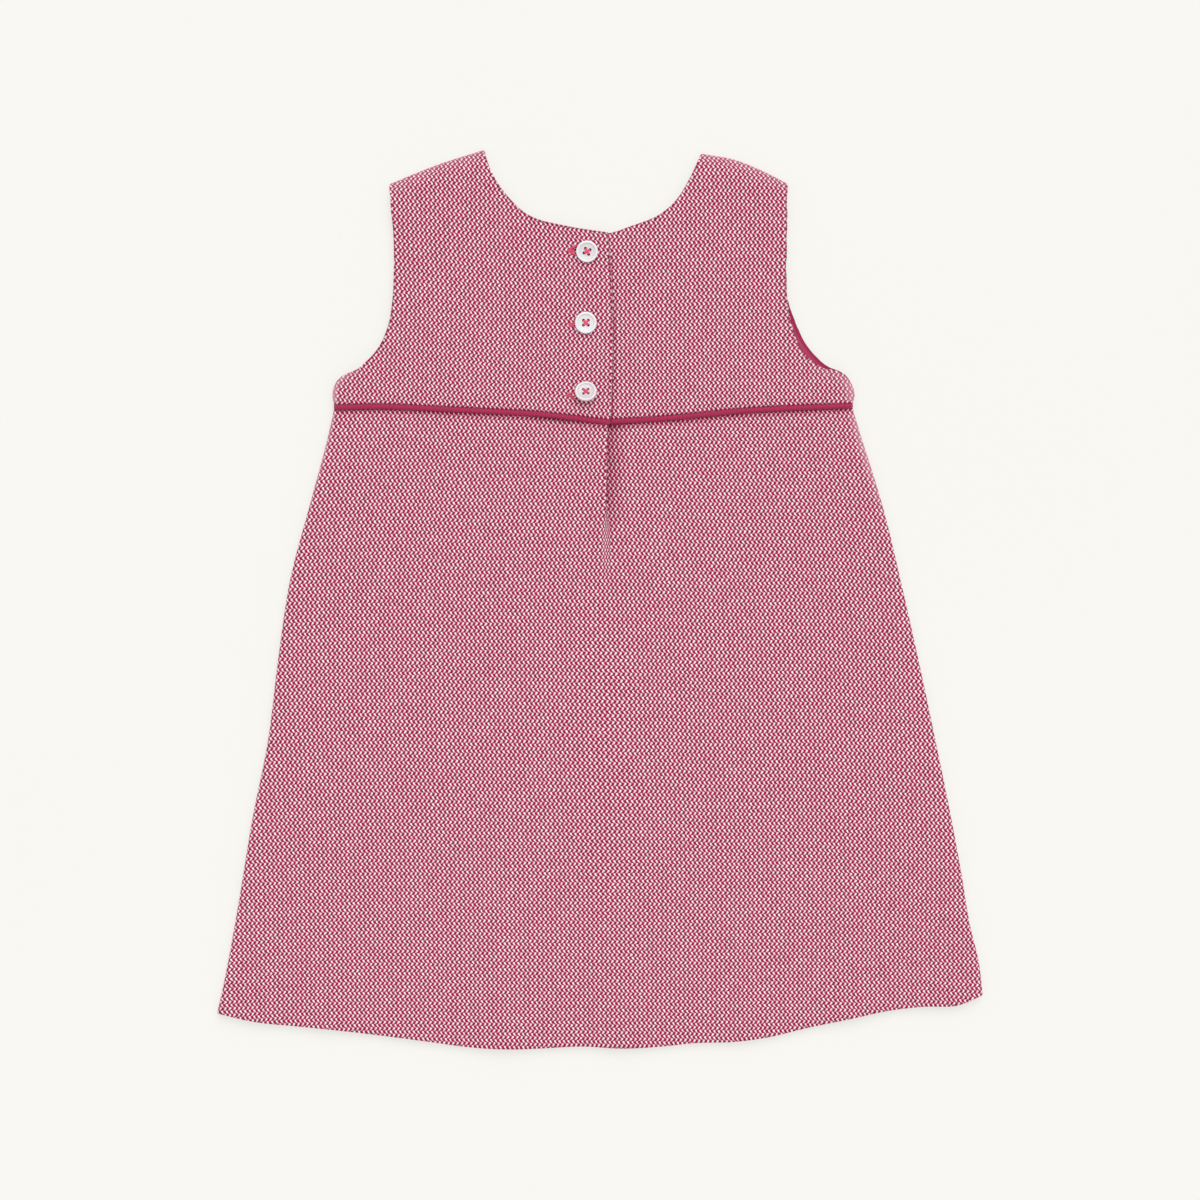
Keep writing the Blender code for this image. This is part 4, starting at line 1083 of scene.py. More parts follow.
    low = calc("MULTIPLY", by_row(fade(within, 0.78, 1.0), fade(within, 0.2, 0.0)), spots(LOW_CROSSINGS))
    high = calc("MULTIPLY", by_row(fade(within, 0.18, 0.0), fade(within, 0.8, 1.0)), spots(HIGH_CROSSINGS))
    base = blend(calc("MAXIMUM", low, high), given["Between"], given["Crossings"])
    # A dark grain is painted darker towards its foot and beside the crossings, a painted shade, and its tone
    # also varies at random.
    painted_foot_shade = calc("MULTIPLY", fade(within, 0.35, 0.95), 0.55)
    deep = blend(calc("MULTIPLY_ADD", mood[1], 0.35, painted_foot_shade), given["Dark Yarn"], given["Depths"])
    deep = blend(calc("MULTIPLY", calc("MAXIMUM", low, high), 0.8), deep, given["Crossings"])
    base = blend(dark, base, deep)
    pink = calc("MULTIPLY_ADD", own[1], 0.3, calc("MULTIPLY", fade(within, 0.45, 1.0), 0.8), clamp=True)
    pale = blend(pink, given["Light Yarn"], given["Light Shade"])
    pale = blend(by_row(1.0, 0.0), pale, EVEN_ROW_TINT, "MULTIPLY")
    full = blend(light, base, pale)

    # Fine fibres run along the grains.
    fibre_place = desk.joined(calc("MULTIPLY", calc("SUBTRACT", across, lean), 8.0),
                              calc("MULTIPLY", down, 2.0), 3.0)
    fibre = desk.noise(fibre_place, 1.0, 2.0)["Fac"]
    value = calc("MULTIPLY_ADD", calc("SUBTRACT", fibre, 0.5), 0.35, 1.0)
    tint = desk.add("ShaderNodeHueSaturation", {"Color": full, "Value": value})
    # Below nothing the attribute hazes the yarn, partly a painted light on rolled edges; above it, it paints
    # shade with the tint In Shadow.
    hazy = blend(haze, tint.outputs[0], given["Haze"])
    desk.feed(wanted["Color"], blend(shade, hazy, given["In Shadow"], "MULTIPLY"))

    light_dome = calc("MULTIPLY", fade(light_inside, -0.06, 0.14), calc("MULTIPLY_ADD", own[2], 0.2, 0.85))
    dark_dome = calc("MULTIPLY", fade(dark_inside, -0.05, 0.2), calc("MULTIPLY_ADD", mood[2], 0.2, 0.5))
    height = calc("MULTIPLY_ADD", fibre, 0.2, calc("MAXIMUM", light_dome, dark_dome))
    desk.feed(wanted["Height"], height)
    desk.feed(wanted["Roughness"], fade(height, 0.0, 1.0, 0.95, 0.8))
    return tree


def build_plain_weave(name):
    """A fine plain weave, seen as tiny even threads."""
    colour, number, vector = "NodeSocketColor", "NodeSocketFloat", "NodeSocketVector"
    tree, desk, given, wanted = new_group(
        name,
        (("Place", vector, (0.0, 0.0, 0.0)), ("Cloth", colour, (0.4, 0.02, 0.1, 1.0)),
         ("Raised", colour, (0.6, 0.1, 0.2, 1.0)), ("Haze", colour, (0.7, 0.4, 0.5, 1.0)),
         ("In Shadow", colour, (0.3, 0.12, 0.16, 1.0)), ("Shade", number, 0.0)),
        (("Color", colour), ("Height", number)))
    calc = desk.calc
    place = desk.split(given["Place"])
    warp = calc("SINE", calc("MULTIPLY", place[0], 2 * math.pi))
    weft = calc("SINE", calc("MULTIPLY", place[1], 2 * math.pi))
    threads = calc("MULTIPLY", warp, weft)
    slub = desk.noise(given["Place"], 0.35, 3.0, 0.65)["Fac"]
    height = calc("MULTIPLY_ADD", threads, 0.25, slub)
    # Raised threads and thick slubs get the lighter colour: the slubs' tone varies at random, and the raised
    # threads' is a painted highlight.
    share = desk.fade(height, 0.2, 0.95)
    shade, haze = desk.shade_and_haze(given["Shade"])
    hazy = desk.blend(haze, desk.blend(share, given["Cloth"], given["Raised"]), given["Haze"])
    desk.feed(wanted["Color"], desk.blend(shade, hazy, given["In Shadow"], "MULTIPLY"))
    desk.feed(wanted["Height"], height)
    return tree


def started(name):
    """A new material with its desk and its shader."""
    made = bpy.data.materials.new(name)
    made.use_nodes = True
    desk = Desk(made.node_tree)
    return made, desk, made.node_tree.nodes["Principled BSDF"]


def material_named(name, build):
    return bpy.data.materials.get(name) or build(name)


def started_cloth(name, group, yarns, strength, relief):
    """A new material with the yarns of a node group, their relief and their shade."""
    made, desk, shader = started(name)
    weave = desk.add("ShaderNodeGroup", node_tree=group)
    desk.feed(weave.inputs["Place"], desk.add("ShaderNodeUVMap", uv_map="weave").outputs[0])
    desk.feed(weave.inputs["Shade"], desk.add("ShaderNodeAttribute", attribute_name="shade").outputs["Fac"])
    for label, colour in yarns.items():
        desk.feed(weave.inputs[label], (*colour, 1.0))
    bump = desk.add("ShaderNodeBump", {"Strength": strength, "Distance": relief,
                                       "Height": weave.outputs["Height"]})
    desk.feed(shader.inputs["Base Color"], weave.outputs["Color"])
    desk.feed(shader.inputs["Normal"], bump.outputs[0])
    return made, desk, shader, weave


def build_tweed(name):
    cloth = bpy.context.scene.dress_cloth
    yarns = {"Light Yarn": cloth.light_yarn, "Light Shade": cloth.light_shade, "Between": cloth.between,
             "Crossings": cloth.crossings, "Dark Yarn": cloth.dark_yarn, "Depths": cloth.depths,
             "Haze": cloth.haze, "In Shadow": cloth.in_shadow}
    group = group_named("tweed_weave", build_tweed_weave)
    made, desk, shader, weave = started_cloth(name, group, yarns, 0.75, cloth.relief)
    desk.feed(shader.inputs["Roughness"], weave.outputs["Roughness"])
    shader.inputs["Specular IOR Level"].default_value = 0.2
    shader.inputs["Sheen Weight"].default_value = 0.06
    shader.inputs["Sheen Roughness"].default_value = 0.5
    return made


def build_plain_cloth(name):
    cloth, trim = bpy.context.scene.dress_cloth, bpy.context.scene.dress_trim
    yarns = {"Cloth": trim.plain_dark, "Raised": trim.plain_light, "Haze": cloth.haze,
             "In Shadow": cloth.in_shadow}
    group = group_named("plain_weave", build_plain_weave)
    made, _, shader, _ = started_cloth(name, group, yarns, 0.4, PLAIN_RELIEF * MM)
    shader.inputs["Roughness"].default_value = 0.75
    shader.inputs["Specular IOR Level"].default_value = 0.3
    shader.inputs["Sheen Weight"].default_value = 0.15
    return made


def build_pearl(name):
    """Pale moulded shell with faint rings round the button's middle."""
    buttons = bpy.context.scene.dress_buttons
    made, desk, shader = started(name)
    place = desk.add("ShaderNodeUVMap", uv_map="weave").outputs[0]
    x, y, _ = desk.split(place)
    radius = desk.calc("SQRT", desk.calc("ADD", desk.calc("MULTIPLY", x, x), desk.calc("MULTIPLY", y, y)))
    cloud = desk.noise(place, 0.9, 3.0)["Fac"]
    bent = desk.calc("MULTIPLY_ADD", cloud, 0.5, radius)
    rings = desk.calc("SINE", desk.calc("MULTIPLY", bent, PEARL_RINGS))
    share = desk.calc("MULTIPLY_ADD", rings, 0.12, cloud)
    rim = desk.fade(radius, *BUTTON_RIM)
    # The attribute shade: below nothing a painted highlight that lightens the face, above it a painted shade
    # with the dulled tint.
    shade = desk.add("ShaderNodeAttribute", attribute_name="shade").outputs["Fac"]
    tone = desk.calc("MAXIMUM", desk.fade(share, 0.25, 0.85), rim)
    tone = desk.calc("MAXIMUM", tone, desk.calc("MULTIPLY", shade, -1.0))
    face = desk.blend(tone, (*buttons.pearl_shade, 1.0), (*buttons.pearl, 1.0))
    face = desk.blend(desk.calc("MAXIMUM", shade, 0.0), face, (*buttons.dulled, 1.0), "MULTIPLY")
    # Deep in each hole the pearl is painted dark, a painted shade; a button whose shade is above nothing
    # gets less of it.
    reach = buttons.hole_reach / MM * math.sqrt(0.5)
    aside = [desk.calc("SUBTRACT", desk.calc("ABSOLUTE", way), reach) for way in (x, y)]
    from_hole = desk.calc("SQRT", desk.calc("ADD", *(desk.calc("MULTIPLY", way, way) for way in aside)))
    size = buttons.hole / MM
    in_hole = desk.fade(from_hole, size + 0.02, size + 0.1, 1.0, 0.0)
    wall = desk.blend(desk.calc("MULTIPLY", shade, 2.0, clamp=True), (*buttons.painted_hole_shade, 1.0),
                      (*buttons.pearl_shade, 1.0))
    desk.feed(shader.inputs["Base Color"], desk.blend(in_hole, face, wall))
    bump = desk.add("ShaderNodeBump", {"Strength": 0.12, "Distance": 0.05 * MM, "Height": share})
    desk.feed(shader.inputs["Normal"], bump.outputs[0])
    shader.inputs["Roughness"].default_value = 0.3
    shader.inputs["Coat Weight"].default_value = 0.4
    shader.inputs["Coat Roughness"].default_value = 0.12
    return made


def build_thread(name, colour):
    """Twisted sewing thread."""
    made, desk, shader = started(name)
    place = desk.split(desk.add("ShaderNodeUVMap", uv_map="weave").outputs[0])
    # The twist's grooves are painted darker than its ridges, a painted shade that follows its relief.
    twist = desk.calc("SINE", desk.calc("MULTIPLY", desk.calc("ADD", place[0], place[1]), 2 * math.pi))
    tone = desk.fade(twist, -1.0, 1.0)
    dark = [c * 0.75 for c in colour]
    desk.feed(shader.inputs["Base Color"],
              desk.blend(tone, (*dark, 1.0), (*colour, 1.0)))
    bump = desk.add("ShaderNodeBump", {"Strength": 0.5, "Distance": 0.1 * MM, "Height": tone})
    desk.feed(shader.inputs["Normal"], bump.outputs[0])
    shader.inputs["Roughness"].default_value = 0.6
    shader.inputs["Sheen Weight"].default_value = 0.1
    return made


def build_painted_slit_shadow(name):
    """The painted shadow inside a buttonhole's slit, with a little of its yarn."""
    buttons = bpy.context.scene.dress_buttons
    made, desk, shader = started(name)
    place = desk.add("ShaderNodeTexCoord").outputs["Object"]
    yarn = desk.fade(desk.noise(place, 2500.0)["Fac"], 0.35, 0.7)
    deep = [c * 0.4 for c in buttons.opening]
    desk.feed(shader.inputs["Base Color"], desk.blend(yarn, (*deep, 1.0), (*buttons.opening, 1.0)))
    shader.inputs["Roughness"].default_value = 0.95
    return made


def opening():
    return material_named("buttonhole_opening", build_painted_slit_shadow)


def thread():
    colour = bpy.context.scene.dress_buttons.thread
    return material_named("raspberry_thread", lambda name: build_thread(name, colour))


def edging():
    colour = bpy.context.scene.dress_buttons.edging
    return material_named("buttonhole_thread", lambda name: build_thread(name, colour))


def pearl():
    return material_named("button_pearl_finish", build_pearl)


def tweed():
    return material_named("tweed_cloth", build_tweed)


def plain_cloth():
    return material_named("plain_raspberry_cloth", build_plain_cloth)


# ------------------------------------------------------------------ sizes and colours to change

def colour_of(name, description, rgb):
    return FloatVectorProperty(name=name, description=description, subtype="COLOR", size=3,
                               min=0.0, max=1.0, default=in_linear_light(rgb))


def length_of(name, description, size):
    return FloatProperty(name=name, description=description, default=size * MM, min=0.0,
                         unit="LENGTH", precision=5)


class DressClothSettings(bpy.types.PropertyGroup):
    """The tweed of the skirt and the bodice."""

    column: length_of("Column", "Width of one column of the weave's grains", 2.64)
    row_pair: length_of("Row Pair", "Height of two rows of grains, one of each lean", 3.95)
    relief: length_of("Relief", "How far the grains stand out of the cloth", 0.45)
    light_yarn: colour_of("Light Yarn", "Middle of a light grain", (255, 251, 254))
    light_shade: colour_of("Light Shade", "Tail of a light grain", (244, 178, 203))
    between: colour_of("Between", "Mixed yarn between two grains", (212, 124, 153))
    # Mixed yarn with a painted shadow, where rows of grains meet.
    crossings: colour_of("Crossings", "Dark crossing at the end of a grain", (124, 36, 64))
    dark_yarn: colour_of("Dark Yarn", "Raspberry yarn beside the light grains", (173, 8, 61))
    # The darkest raspberry: a random tone, and a painted shade at the grains' feet.
    depths: colour_of("Depths", "Darkest of the raspberry grains", (126, 4, 47))
    # Haze: pressed-together yarn, and on rolled edges a painted light that makes them paler.
    haze: colour_of("Haze", "Cloth whose grains are pressed together", (222, 160, 180))
    in_shadow: colour_of("In Shadow", "Tint of the cloth in a fold's shadow", (164, 84, 110))


class DressTrimSettings(bpy.types.PropertyGroup):
    """The plain raspberry cloth of the piping and the armhole facing."""

    thread: length_of("Thread", "Width of two threads of the plain cloth", 0.5)
    plain_dark: colour_of("Plain Cloth", "Colour of the plain cloth", (156, 22, 69))
    # The lighter colour of the raised threads, a painted highlight, and of the slubs.
    plain_light: colour_of("Plain Cloth High", "Colour of its raised threads", (184, 45, 92))


class DressButtonSettings(bpy.types.PropertyGroup):
    """The buttons with their thread and buttonholes."""

    pearl: colour_of("Pearl", "Colour of the buttons", (234, 233, 235))
    pearl_shade: colour_of("Pearl Shade", "Colour of the faint rings in them", (208, 206, 209))
    dulled: colour_of("Dulled", "Tint of a button that lies turned away from the light", (232, 216, 219))
    # The painted shade deep in a button's holes.
    painted_hole_shade: colour_of("Painted Hole Shade", "Colour deep in a button's holes", (38, 10, 22))
    thread: colour_of("Thread", "Colour of the sewing thread", (250, 84, 122))
    edging: colour_of("Edging", "Colour of the thread round the buttonholes", (232, 76, 110))
    # The colour of the painted shadow in a buttonhole's slit.
    opening: colour_of("Opening", "Dark inside of a buttonhole", (92, 18, 44))
    hole: length_of("Hole", "Radius of a button's holes", 0.82)
    hole_reach: length_of("Hole Reach", "From the middle of a button to the middle of a hole", 1.95)


class DressStageSettings(bpy.types.PropertyGroup):
    """The camera, the lights and the floor."""

    view_width: length_of("View Width", "Width of the floor that the camera sees", 696.0)
    camera_height: length_of("Camera Height", "Height of the camera over the floor", 6000.0)
    floor: colour_of("Floor", "Colour of the pale floor", (246, 245, 240))
    sky: FloatProperty(name="Sky", description="Strength of the even light from all around",
                       default=0.74, min=0.0)
    key: FloatProperty(name="Key", description="Strength of the soft light on the neck's side",
                       default=1.38, min=0.0)


# ------------------------------------------------------------------ operators

class DRESS_OT_stage(bpy.types.Operator):
    """Make the camera, the floor and the lights"""

    bl_idname = "dress.stage"
    bl_label = "Stage"

    def execute(self, context):
        stage = context.scene.dress_stage
        lens = bpy.data.cameras.new("camera")
        camera = bpy.data.objects.new("camera", lens)
        context.scene.collection.objects.link(camera)
        camera.location.z = stage.camera_height
        lens.lens = lens.sensor_width * stage.camera_height / stage.view_width
        lens.clip_end = CAMERA_SEES_TO * MM
        context.scene.camera = camera

        work = bmesh.new()
        bmesh.ops.create_grid(work, x_segments=1, y_segments=1, size=FLOOR_HALF * MM)
        bmesh.ops.translate(work, verts=work.verts, vec=(0.0, 0.0, -FLOOR_GAP * MM))
        mesh = mesh_of("floor", work)
        finish, desk, shader = started("floor")
        place = desk.add("ShaderNodeTexCoord").outputs["Object"]
        tone = desk.fade(desk.noise(place, 2.0)["Fac"], 0.3, 0.7)
        upper = [c * (1 - FLOOR_GLOW) for c in stage.floor]
        lower = [c * FLOOR_DIM for c in upper]
        desk.feed(shader.inputs["Base Color"], desk.blend(tone, (*lower, 1.0), (*upper, 1.0)))
        shader.inputs["Emission Color"].default_value = (*stage.floor, 1.0)
        shader.inputs["Emission Strength"].default_value = FLOOR_GLOW
        shader.inputs["Roughness"].default_value = 0.9
        shader.inputs["Specular IOR Level"].default_value = 0.1
        # From below the floor is clear to the eye, so that the underside of the dress shows.
        behind = desk.calc("MULTIPLY", desk.add("ShaderNodeNewGeometry").outputs["Backfacing"],
                           desk.add("ShaderNodeLightPath").outputs["Is Camera Ray"])
        seen = desk.add("ShaderNodeMixShader", {"Fac": behind})
        desk.feed(seen.inputs[1], shader.outputs[0])
        desk.feed(seen.inputs[2], desk.add("ShaderNodeBsdfTransparent").outputs[0])
        desk.feed(finish.node_tree.nodes["Material Output"].inputs["Surface"], seen.outputs[0])
        floor = linked("floor", mesh, finish)

        world = bpy.data.worlds.new("sky")
        world.use_nodes = True
        even_light = world.node_tree.nodes["Background"].inputs
        even_light["Color"].default_value = (1.0, 1.0, 1.0, 1.0)
        even_light["Strength"].default_value = stage.sky
        context.scene.world = world
        key = bpy.data.lights.new("key", "SUN")
        key.angle = math.radians(KEY_WIDTH)
        key.energy = stage.key
        lamp = bpy.data.objects.new("key", key)
        lamp.location = KEY_PLACE
        lamp.rotation_euler = (math.radians(KEY_TILT), 0.0, math.radians(KEY_TURN))
        context.scene.collection.objects.link(lamp)
        context.scene.view_settings.view_transform = "Standard"
        return {"FINISHED"}


def edge_picker(rows, seams, shoulders, overlap=None, under=None):
    """Which edge each border vertex of a bodice piece has, and its way out where that is fixed.

    seams says how far up a border column is sewn, as a share of the height, and shoulders has
    the columns of the shoulders. overlap is the column that laps over the other half, and under
    the one that lies below it.
    """
    def pick(row, column):
        if row == 0:
            return WAIST_EDGE, (0.0, -1.0)
        if column == under:
            return RAW_EDGE, (-1.0, 0.0)
        if column == overlap:
            return OVERLAP_EDGE, None
        if column in seams and rows[row] < seams[column] + SIDE_MARGIN:
            return SIDE_EDGE, None
        if row == len(rows) - 1 and column in shoulders:
            return SHOULDER_EDGE, None
        return FREE_EDGE, None

    return pick


class DRESS_OT_bodice(bpy.types.Operator):
    """Make the two back halves and the front of the bodice"""

    bl_idname = "dress.bodice"
    bl_label = "Bodice"

    def back_half(self, name, places, rows, pick, side, haze, shadow=0.0):
        """The mesh of a back half, shaded by what lies over it, its rolls and the piping."""
        x, y = places[..., 0], places[..., 1]
        shade = shadow - hazy_sides(x, y, haze) - SHOULDER_HAZE * shoulder_turn(x, y)
        weave = woven(places, BODICE_LEANS, BODICE_SLOPES, side)
        return panel(name, places, weave, pick, -1, SHELL, tweed(), np.maximum(shade, foot_shade(rows)),
                     cut=-1)

    def left_half(self):
        corner, shoulder_steps, neck_steps = 0.48, 24, 27
        bottom = level_line(WAIST_LEFT, ARMHOLE_LEFT[0].x, LAP_EDGE[0].x, EDGE)
        top = joined(curve(SHOULDER_LEFT), curve(NECK_LEFT), corner)
        outline = patch(armhole_left, curve(LAP_EDGE), bottom, top)

        def columns(width):
            rims = rim_shares(width, LEFT_ROLL)
            return (rims + up_to(rims[-1], corner, shoulder_steps)
                    + between(corner, 1 - COLUMNS_TO_LAP[0] / width, neck_steps)
                    + [1 - away / width for away in COLUMNS_TO_LAP])

        rows = bodice_rows()
        places = lifted(outline, columns, rows, left_half_level, SHELL_INSET)
        shoulder = range(len(RIM_TURNS) + shoulder_steps)
        pick = edge_picker(rows, {0: SIDE_SEAM_LEFT}, shoulder, overlap=places.shape[1] - 1)
        made = self.back_half("back_bodice_left_cloth", places, rows, pick, -1, BODICE_HAZE[:1])
        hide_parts("back_bodice_left")
        return made

    def right_half(self):
        corner, under_lap, beside_lap = 0.56, 0.13, 0.24
        lap_steps, beside_steps, neck_steps, shoulder_steps = 7, 17, 13, 21
        bottom = level_line((STAND_FOOT,) + WAIST_RIGHT, STAND_FOOT.x, ARMHOLE_RIGHT[0].x, EDGE)
        top = joined(curve(NECK_RIGHT), curve(SHOULDER_RIGHT), corner)
        outline = patch(curve(STAND_EDGE), armhole_right, bottom, top)

        def columns(width):
            rims = end_rim_shares(width, RIGHT_ROLL)
            return ([0.0] + up_to(0.0, under_lap, lap_steps)
                    + up_to(under_lap, beside_lap, beside_steps) + up_to(beside_lap, corner, neck_steps)
                    + between(corner, rims[0], shoulder_steps) + rims)

        rows = bodice_rows()
        places = lifted(outline, columns, rows, right_half_level, SHELL_INSET)
        end = places.shape[1] - 1
        shoulder = range(lap_steps + beside_steps + neck_steps, end + 1)
        pick = edge_picker(rows, {end: SIDE_SEAM_RIGHT}, shoulder, under=0)
        # The lap's painted shadow on the right half, beside its edge.
        past = places[..., 0] - np.interp(places[..., 1], LAP_LINE[:, 1], LAP_LINE[:, 0])
        lap = at_height(LAP_SHADES, places[..., 1]) * (1 - smooth_step(past / LAP_REACH))
        made = self.back_half("back_bodice_right_cloth", places, rows, pick, 1, BODICE_HAZE[1:], lap)
        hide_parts("back_bodice_right")
        return made

    def front(self):
        left_corner, right_corner, shoulder_steps, neck_steps = 0.2, 0.8, 19, 60
        bottom = level_line(WAIST_FRONT, FRONT_ARMHOLE_LEFT[0].x, FRONT_ARMHOLE_RIGHT[0].x, EDGE)
        left_and_neck = joined(curve(SHOULDER_LEFT), curve(NECK_FRONT), left_corner / right_corner)
        top = joined(left_and_neck, curve(SHOULDER_RIGHT), right_corner)
        outline = patch(curve(FRONT_ARMHOLE_LEFT), curve(FRONT_ARMHOLE_RIGHT), bottom, top)

        def columns(width):
            rims, ends = rim_shares(width, FRONT_ROLL), end_rim_shares(width, FRONT_ROLL)
            return (rims + up_to(rims[-1], left_corner, shoulder_steps)
                    + up_to(left_corner, right_corner, neck_steps)
                    + between(right_corner, ends[0], shoulder_steps) + ends)

        rows = bodice_rows()
        places = lifted(outline, columns, rows, front_bodice_level, -SHELL_INSET)
        weave = woven(places, BODICE_LEANS, SKIRT_SLOPES, 1)
        end = places.shape[1] - 1
        left = range(len(RIM_TURNS) + shoulder_steps)
        right = range(left[-1] + neck_steps, end + 1)
        pick = edge_picker(rows, {0: SIDE_SEAM_LEFT, end: SIDE_SEAM_RIGHT}, {*left, *right})
        made = panel("front_bodice_cloth", places, weave, pick, 1, SHELL, tweed(), cut=-1)
        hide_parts("front_bodice")
        return made

    def execute(self, context):
        for made in (self.left_half(), self.right_half(), self.front()):
            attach(made, "root")
        return {"FINISHED"}


def pleat_paths(depth, turn):
    """Offsets (x, z) through the pleat for each row: round and back under, then to the right."""
    shares = [(k + 0.5) / PLEAT_TURN_STEPS for k in range(PLEAT_TURN_STEPS)]
    step = LAYER / sum(math.sin(math.pi * share) for share in shares)
    paths = []
    for deep, turned in zip(depth, turn):
        runs = [(turned * share, step) for share in shares]
        runs += [(turned, max(deep, LEAST_DEPTH))]
        runs += [(turned * share, step) for share in reversed(shares)]
        path = [np.zeros(2)]
        for angle, length in runs:
            way = np.array((math.cos(math.radians(angle)), -math.sin(math.radians(angle))))
            path.append(path[-1] + way * length)
        paths.append(path)
    return np.array(paths)


class DRESS_OT_skirt(bpy.types.Operator):
    """Make the back of the skirt with its pleat, and the front, both with a turned-up hem"""

    bl_idname = "dress.skirt"
    bl_label = "Skirt"

    hem_line = HemRow(1.0, 0.0, 0.0, False)

    def hem_rows(self):
        """Rows down the skirt, round the fold of its hem and up inside."""
        shares = [0.0] + spread(0.0, 1.0, CELL / SKIRT_HEIGHT)
        rows = [HemRow(share, 0.0, 0.0, False) for share in shares] + [self.hem_line]
        for turned in np.radians(HEM_TURNS):
            rows.append(HemRow(1.0, HEM_RADIUS * math.sin(turned), HEM_RADIUS * (1 - math.cos(turned)),
                               False))
        for deep in HEM_INSIDE:
            rows.append(HemRow(1.0 - deep / SKIRT_HEIGHT, 0.0, 2 * HEM_RADIUS, True))
        return rows

    def finished(self, name, flat, height, rows, side, shadow=0.0, fold=NO_FOLD):
        """Turns the hem of a skirt panel and makes its mesh."""
        share, out, down, inside = (np.array(column)[:, None] for column in zip(*rows))
        x, y = flat[..., 0], flat[..., 1]
        middle = (x[:, [0]] + x[:, [-1]]) / 2
        half = (x[:, [-1]] - x[:, [0]]) / 2
        x = np.where(inside, middle + (x - middle) * (half - SIDE_INSET) / half, x)
        y = y + HEM_RISE * smooth_step((share - HEM_RISE_FROM) / (1 - HEM_RISE_FROM))
        places = np.stack([x, y - out, height + side * down], axis=-1)
        hem = rows.index(self.hem_line)
        beyond = np.where(inside, 2 * y[[hem], :] - y, y - out)
        weave = self.weave_of(places, flat, beyond, fold)
        last, end = len(rows) - 1, places.shape[1] - 1

        def pick(row, column):
            if row == last:
                return WAIST_EDGE, (0.0, 1.0)
            if row > last - hem:
                return SIDE_EDGE, None
            return RAW_EDGE, {0: (-1.0, 0.0), end: (1.0, 0.0)}.get(column, (0.0, 1.0))

        under_waist = np.hypot(places[..., 0] - places[[0], :, 0], places[..., 1] - places[[0], :, 1])
        from_piping = (under_waist - WAIST_SHADE_FROM) / (WAIST_SHADE_TO - WAIST_SHADE_FROM)
        shade = shadow + WAIST_SHADE * (1 - smooth_step(from_piping)) - hazy_sides(x, y, SKIRT_HAZE)
        # A panel's rows run up, and these run down from the waist.
        return panel(name, places[::-1], weave[::-1], pick, side, SHELL, tweed(), shade[::-1])

    def weave_of(self, places, flat, beyond, fold):
        """The weave's places, which run on through the fold of a pleat and round the sides."""
        x, _, z = np.moveaxis(places, -1, 0)
        cloth = bpy.context.scene.dress_cloth
        side = np.where(np.arange(x.shape[1]) > (fold.start + fold.end) / 2, 1.0, -1.0)[None, :]
        column, row_pair = weave_place(flat[..., 0], beyond, SKIRT_LEANS, SKIRT_SLOPES, side,
                                       fold is not NO_FOLD)
        if fold is not NO_FOLD:
            pleat = slice(fold.start, fold.end + 1)
            steps = np.hypot(np.diff(x[:, pleat]), np.diff(z[:, pleat]))
            run = np.concatenate([np.zeros((len(x), 1)), np.cumsum(steps, axis=1)], axis=1)
            from_left = column[:, [fold.start]] + run * MM / cloth.column
            from_right = column[:, [fold.end]] - (run[:, [-1]] - run) * MM / cloth.column
            share = smooth_step((run / run[:, [-1]] - 0.5) / fold.change[:, None] + 0.5)
            column[:, pleat] = from_left + (from_right - from_left) * share
        extra = np.zeros_like(x)
        for columns, sign in ((range(len(RIM_TURNS) - 2, -1, -1), -1),
                              (range(x.shape[1] - len(RIM_TURNS) + 1, x.shape[1]), 1)):
            for k in columns:
                near = k - sign
                step = np.hypot(x[:, k] - x[:, near], z[:, k] - z[:, near])
                extra[:, k] = extra[:, near] + sign * (step - np.abs(x[:, k] - x[:, near]))
        return np.stack([column + extra * MM / cloth.column, row_pair], axis=-1)

    def back(self):
        start, end = SKIRT_LEFT[0].x, SKIRT_RIGHT[0].x
        waist = level_line(WAIST_LEFT + WAIST_RIGHT[1:], start, end, -EDGE)
        hem = level_line(HEM_BACK, HEM_BACK[0].x, HEM_BACK[-1].x)
        outline = patch(curve(SKIRT_LEFT), curve(SKIRT_RIGHT), waist, hem)
        rows = self.hem_rows()
        v = np.array([row.share for row in rows])
        first, last = outline(np.zeros_like(v), v)[:, 0], outline(np.ones_like(v), v)[:, 0]
        middle_y = outline(np.full_like(v, 0.5), v)[:, 1]
        keys = [row.y for row in PLEAT]
        fold_x, depth, turn = (np.interp(middle_y, keys, [row[k] for row in PLEAT]) for k in (1, 2, 3))
        path = pleat_paths(depth, turn)
        turn_x = fold_x - LAYER / 2 - HALF_CLOTH
        drop = -path[:, -1, 1]
        own = skirt_level(turn_x, middle_y)
        closed = smooth_step(PLEAT_CLOSING * drop / LAYER)
        sink = closed * (own - PLEAT_LEVEL - over_front_piping(middle_y))
        rise = drop - sink

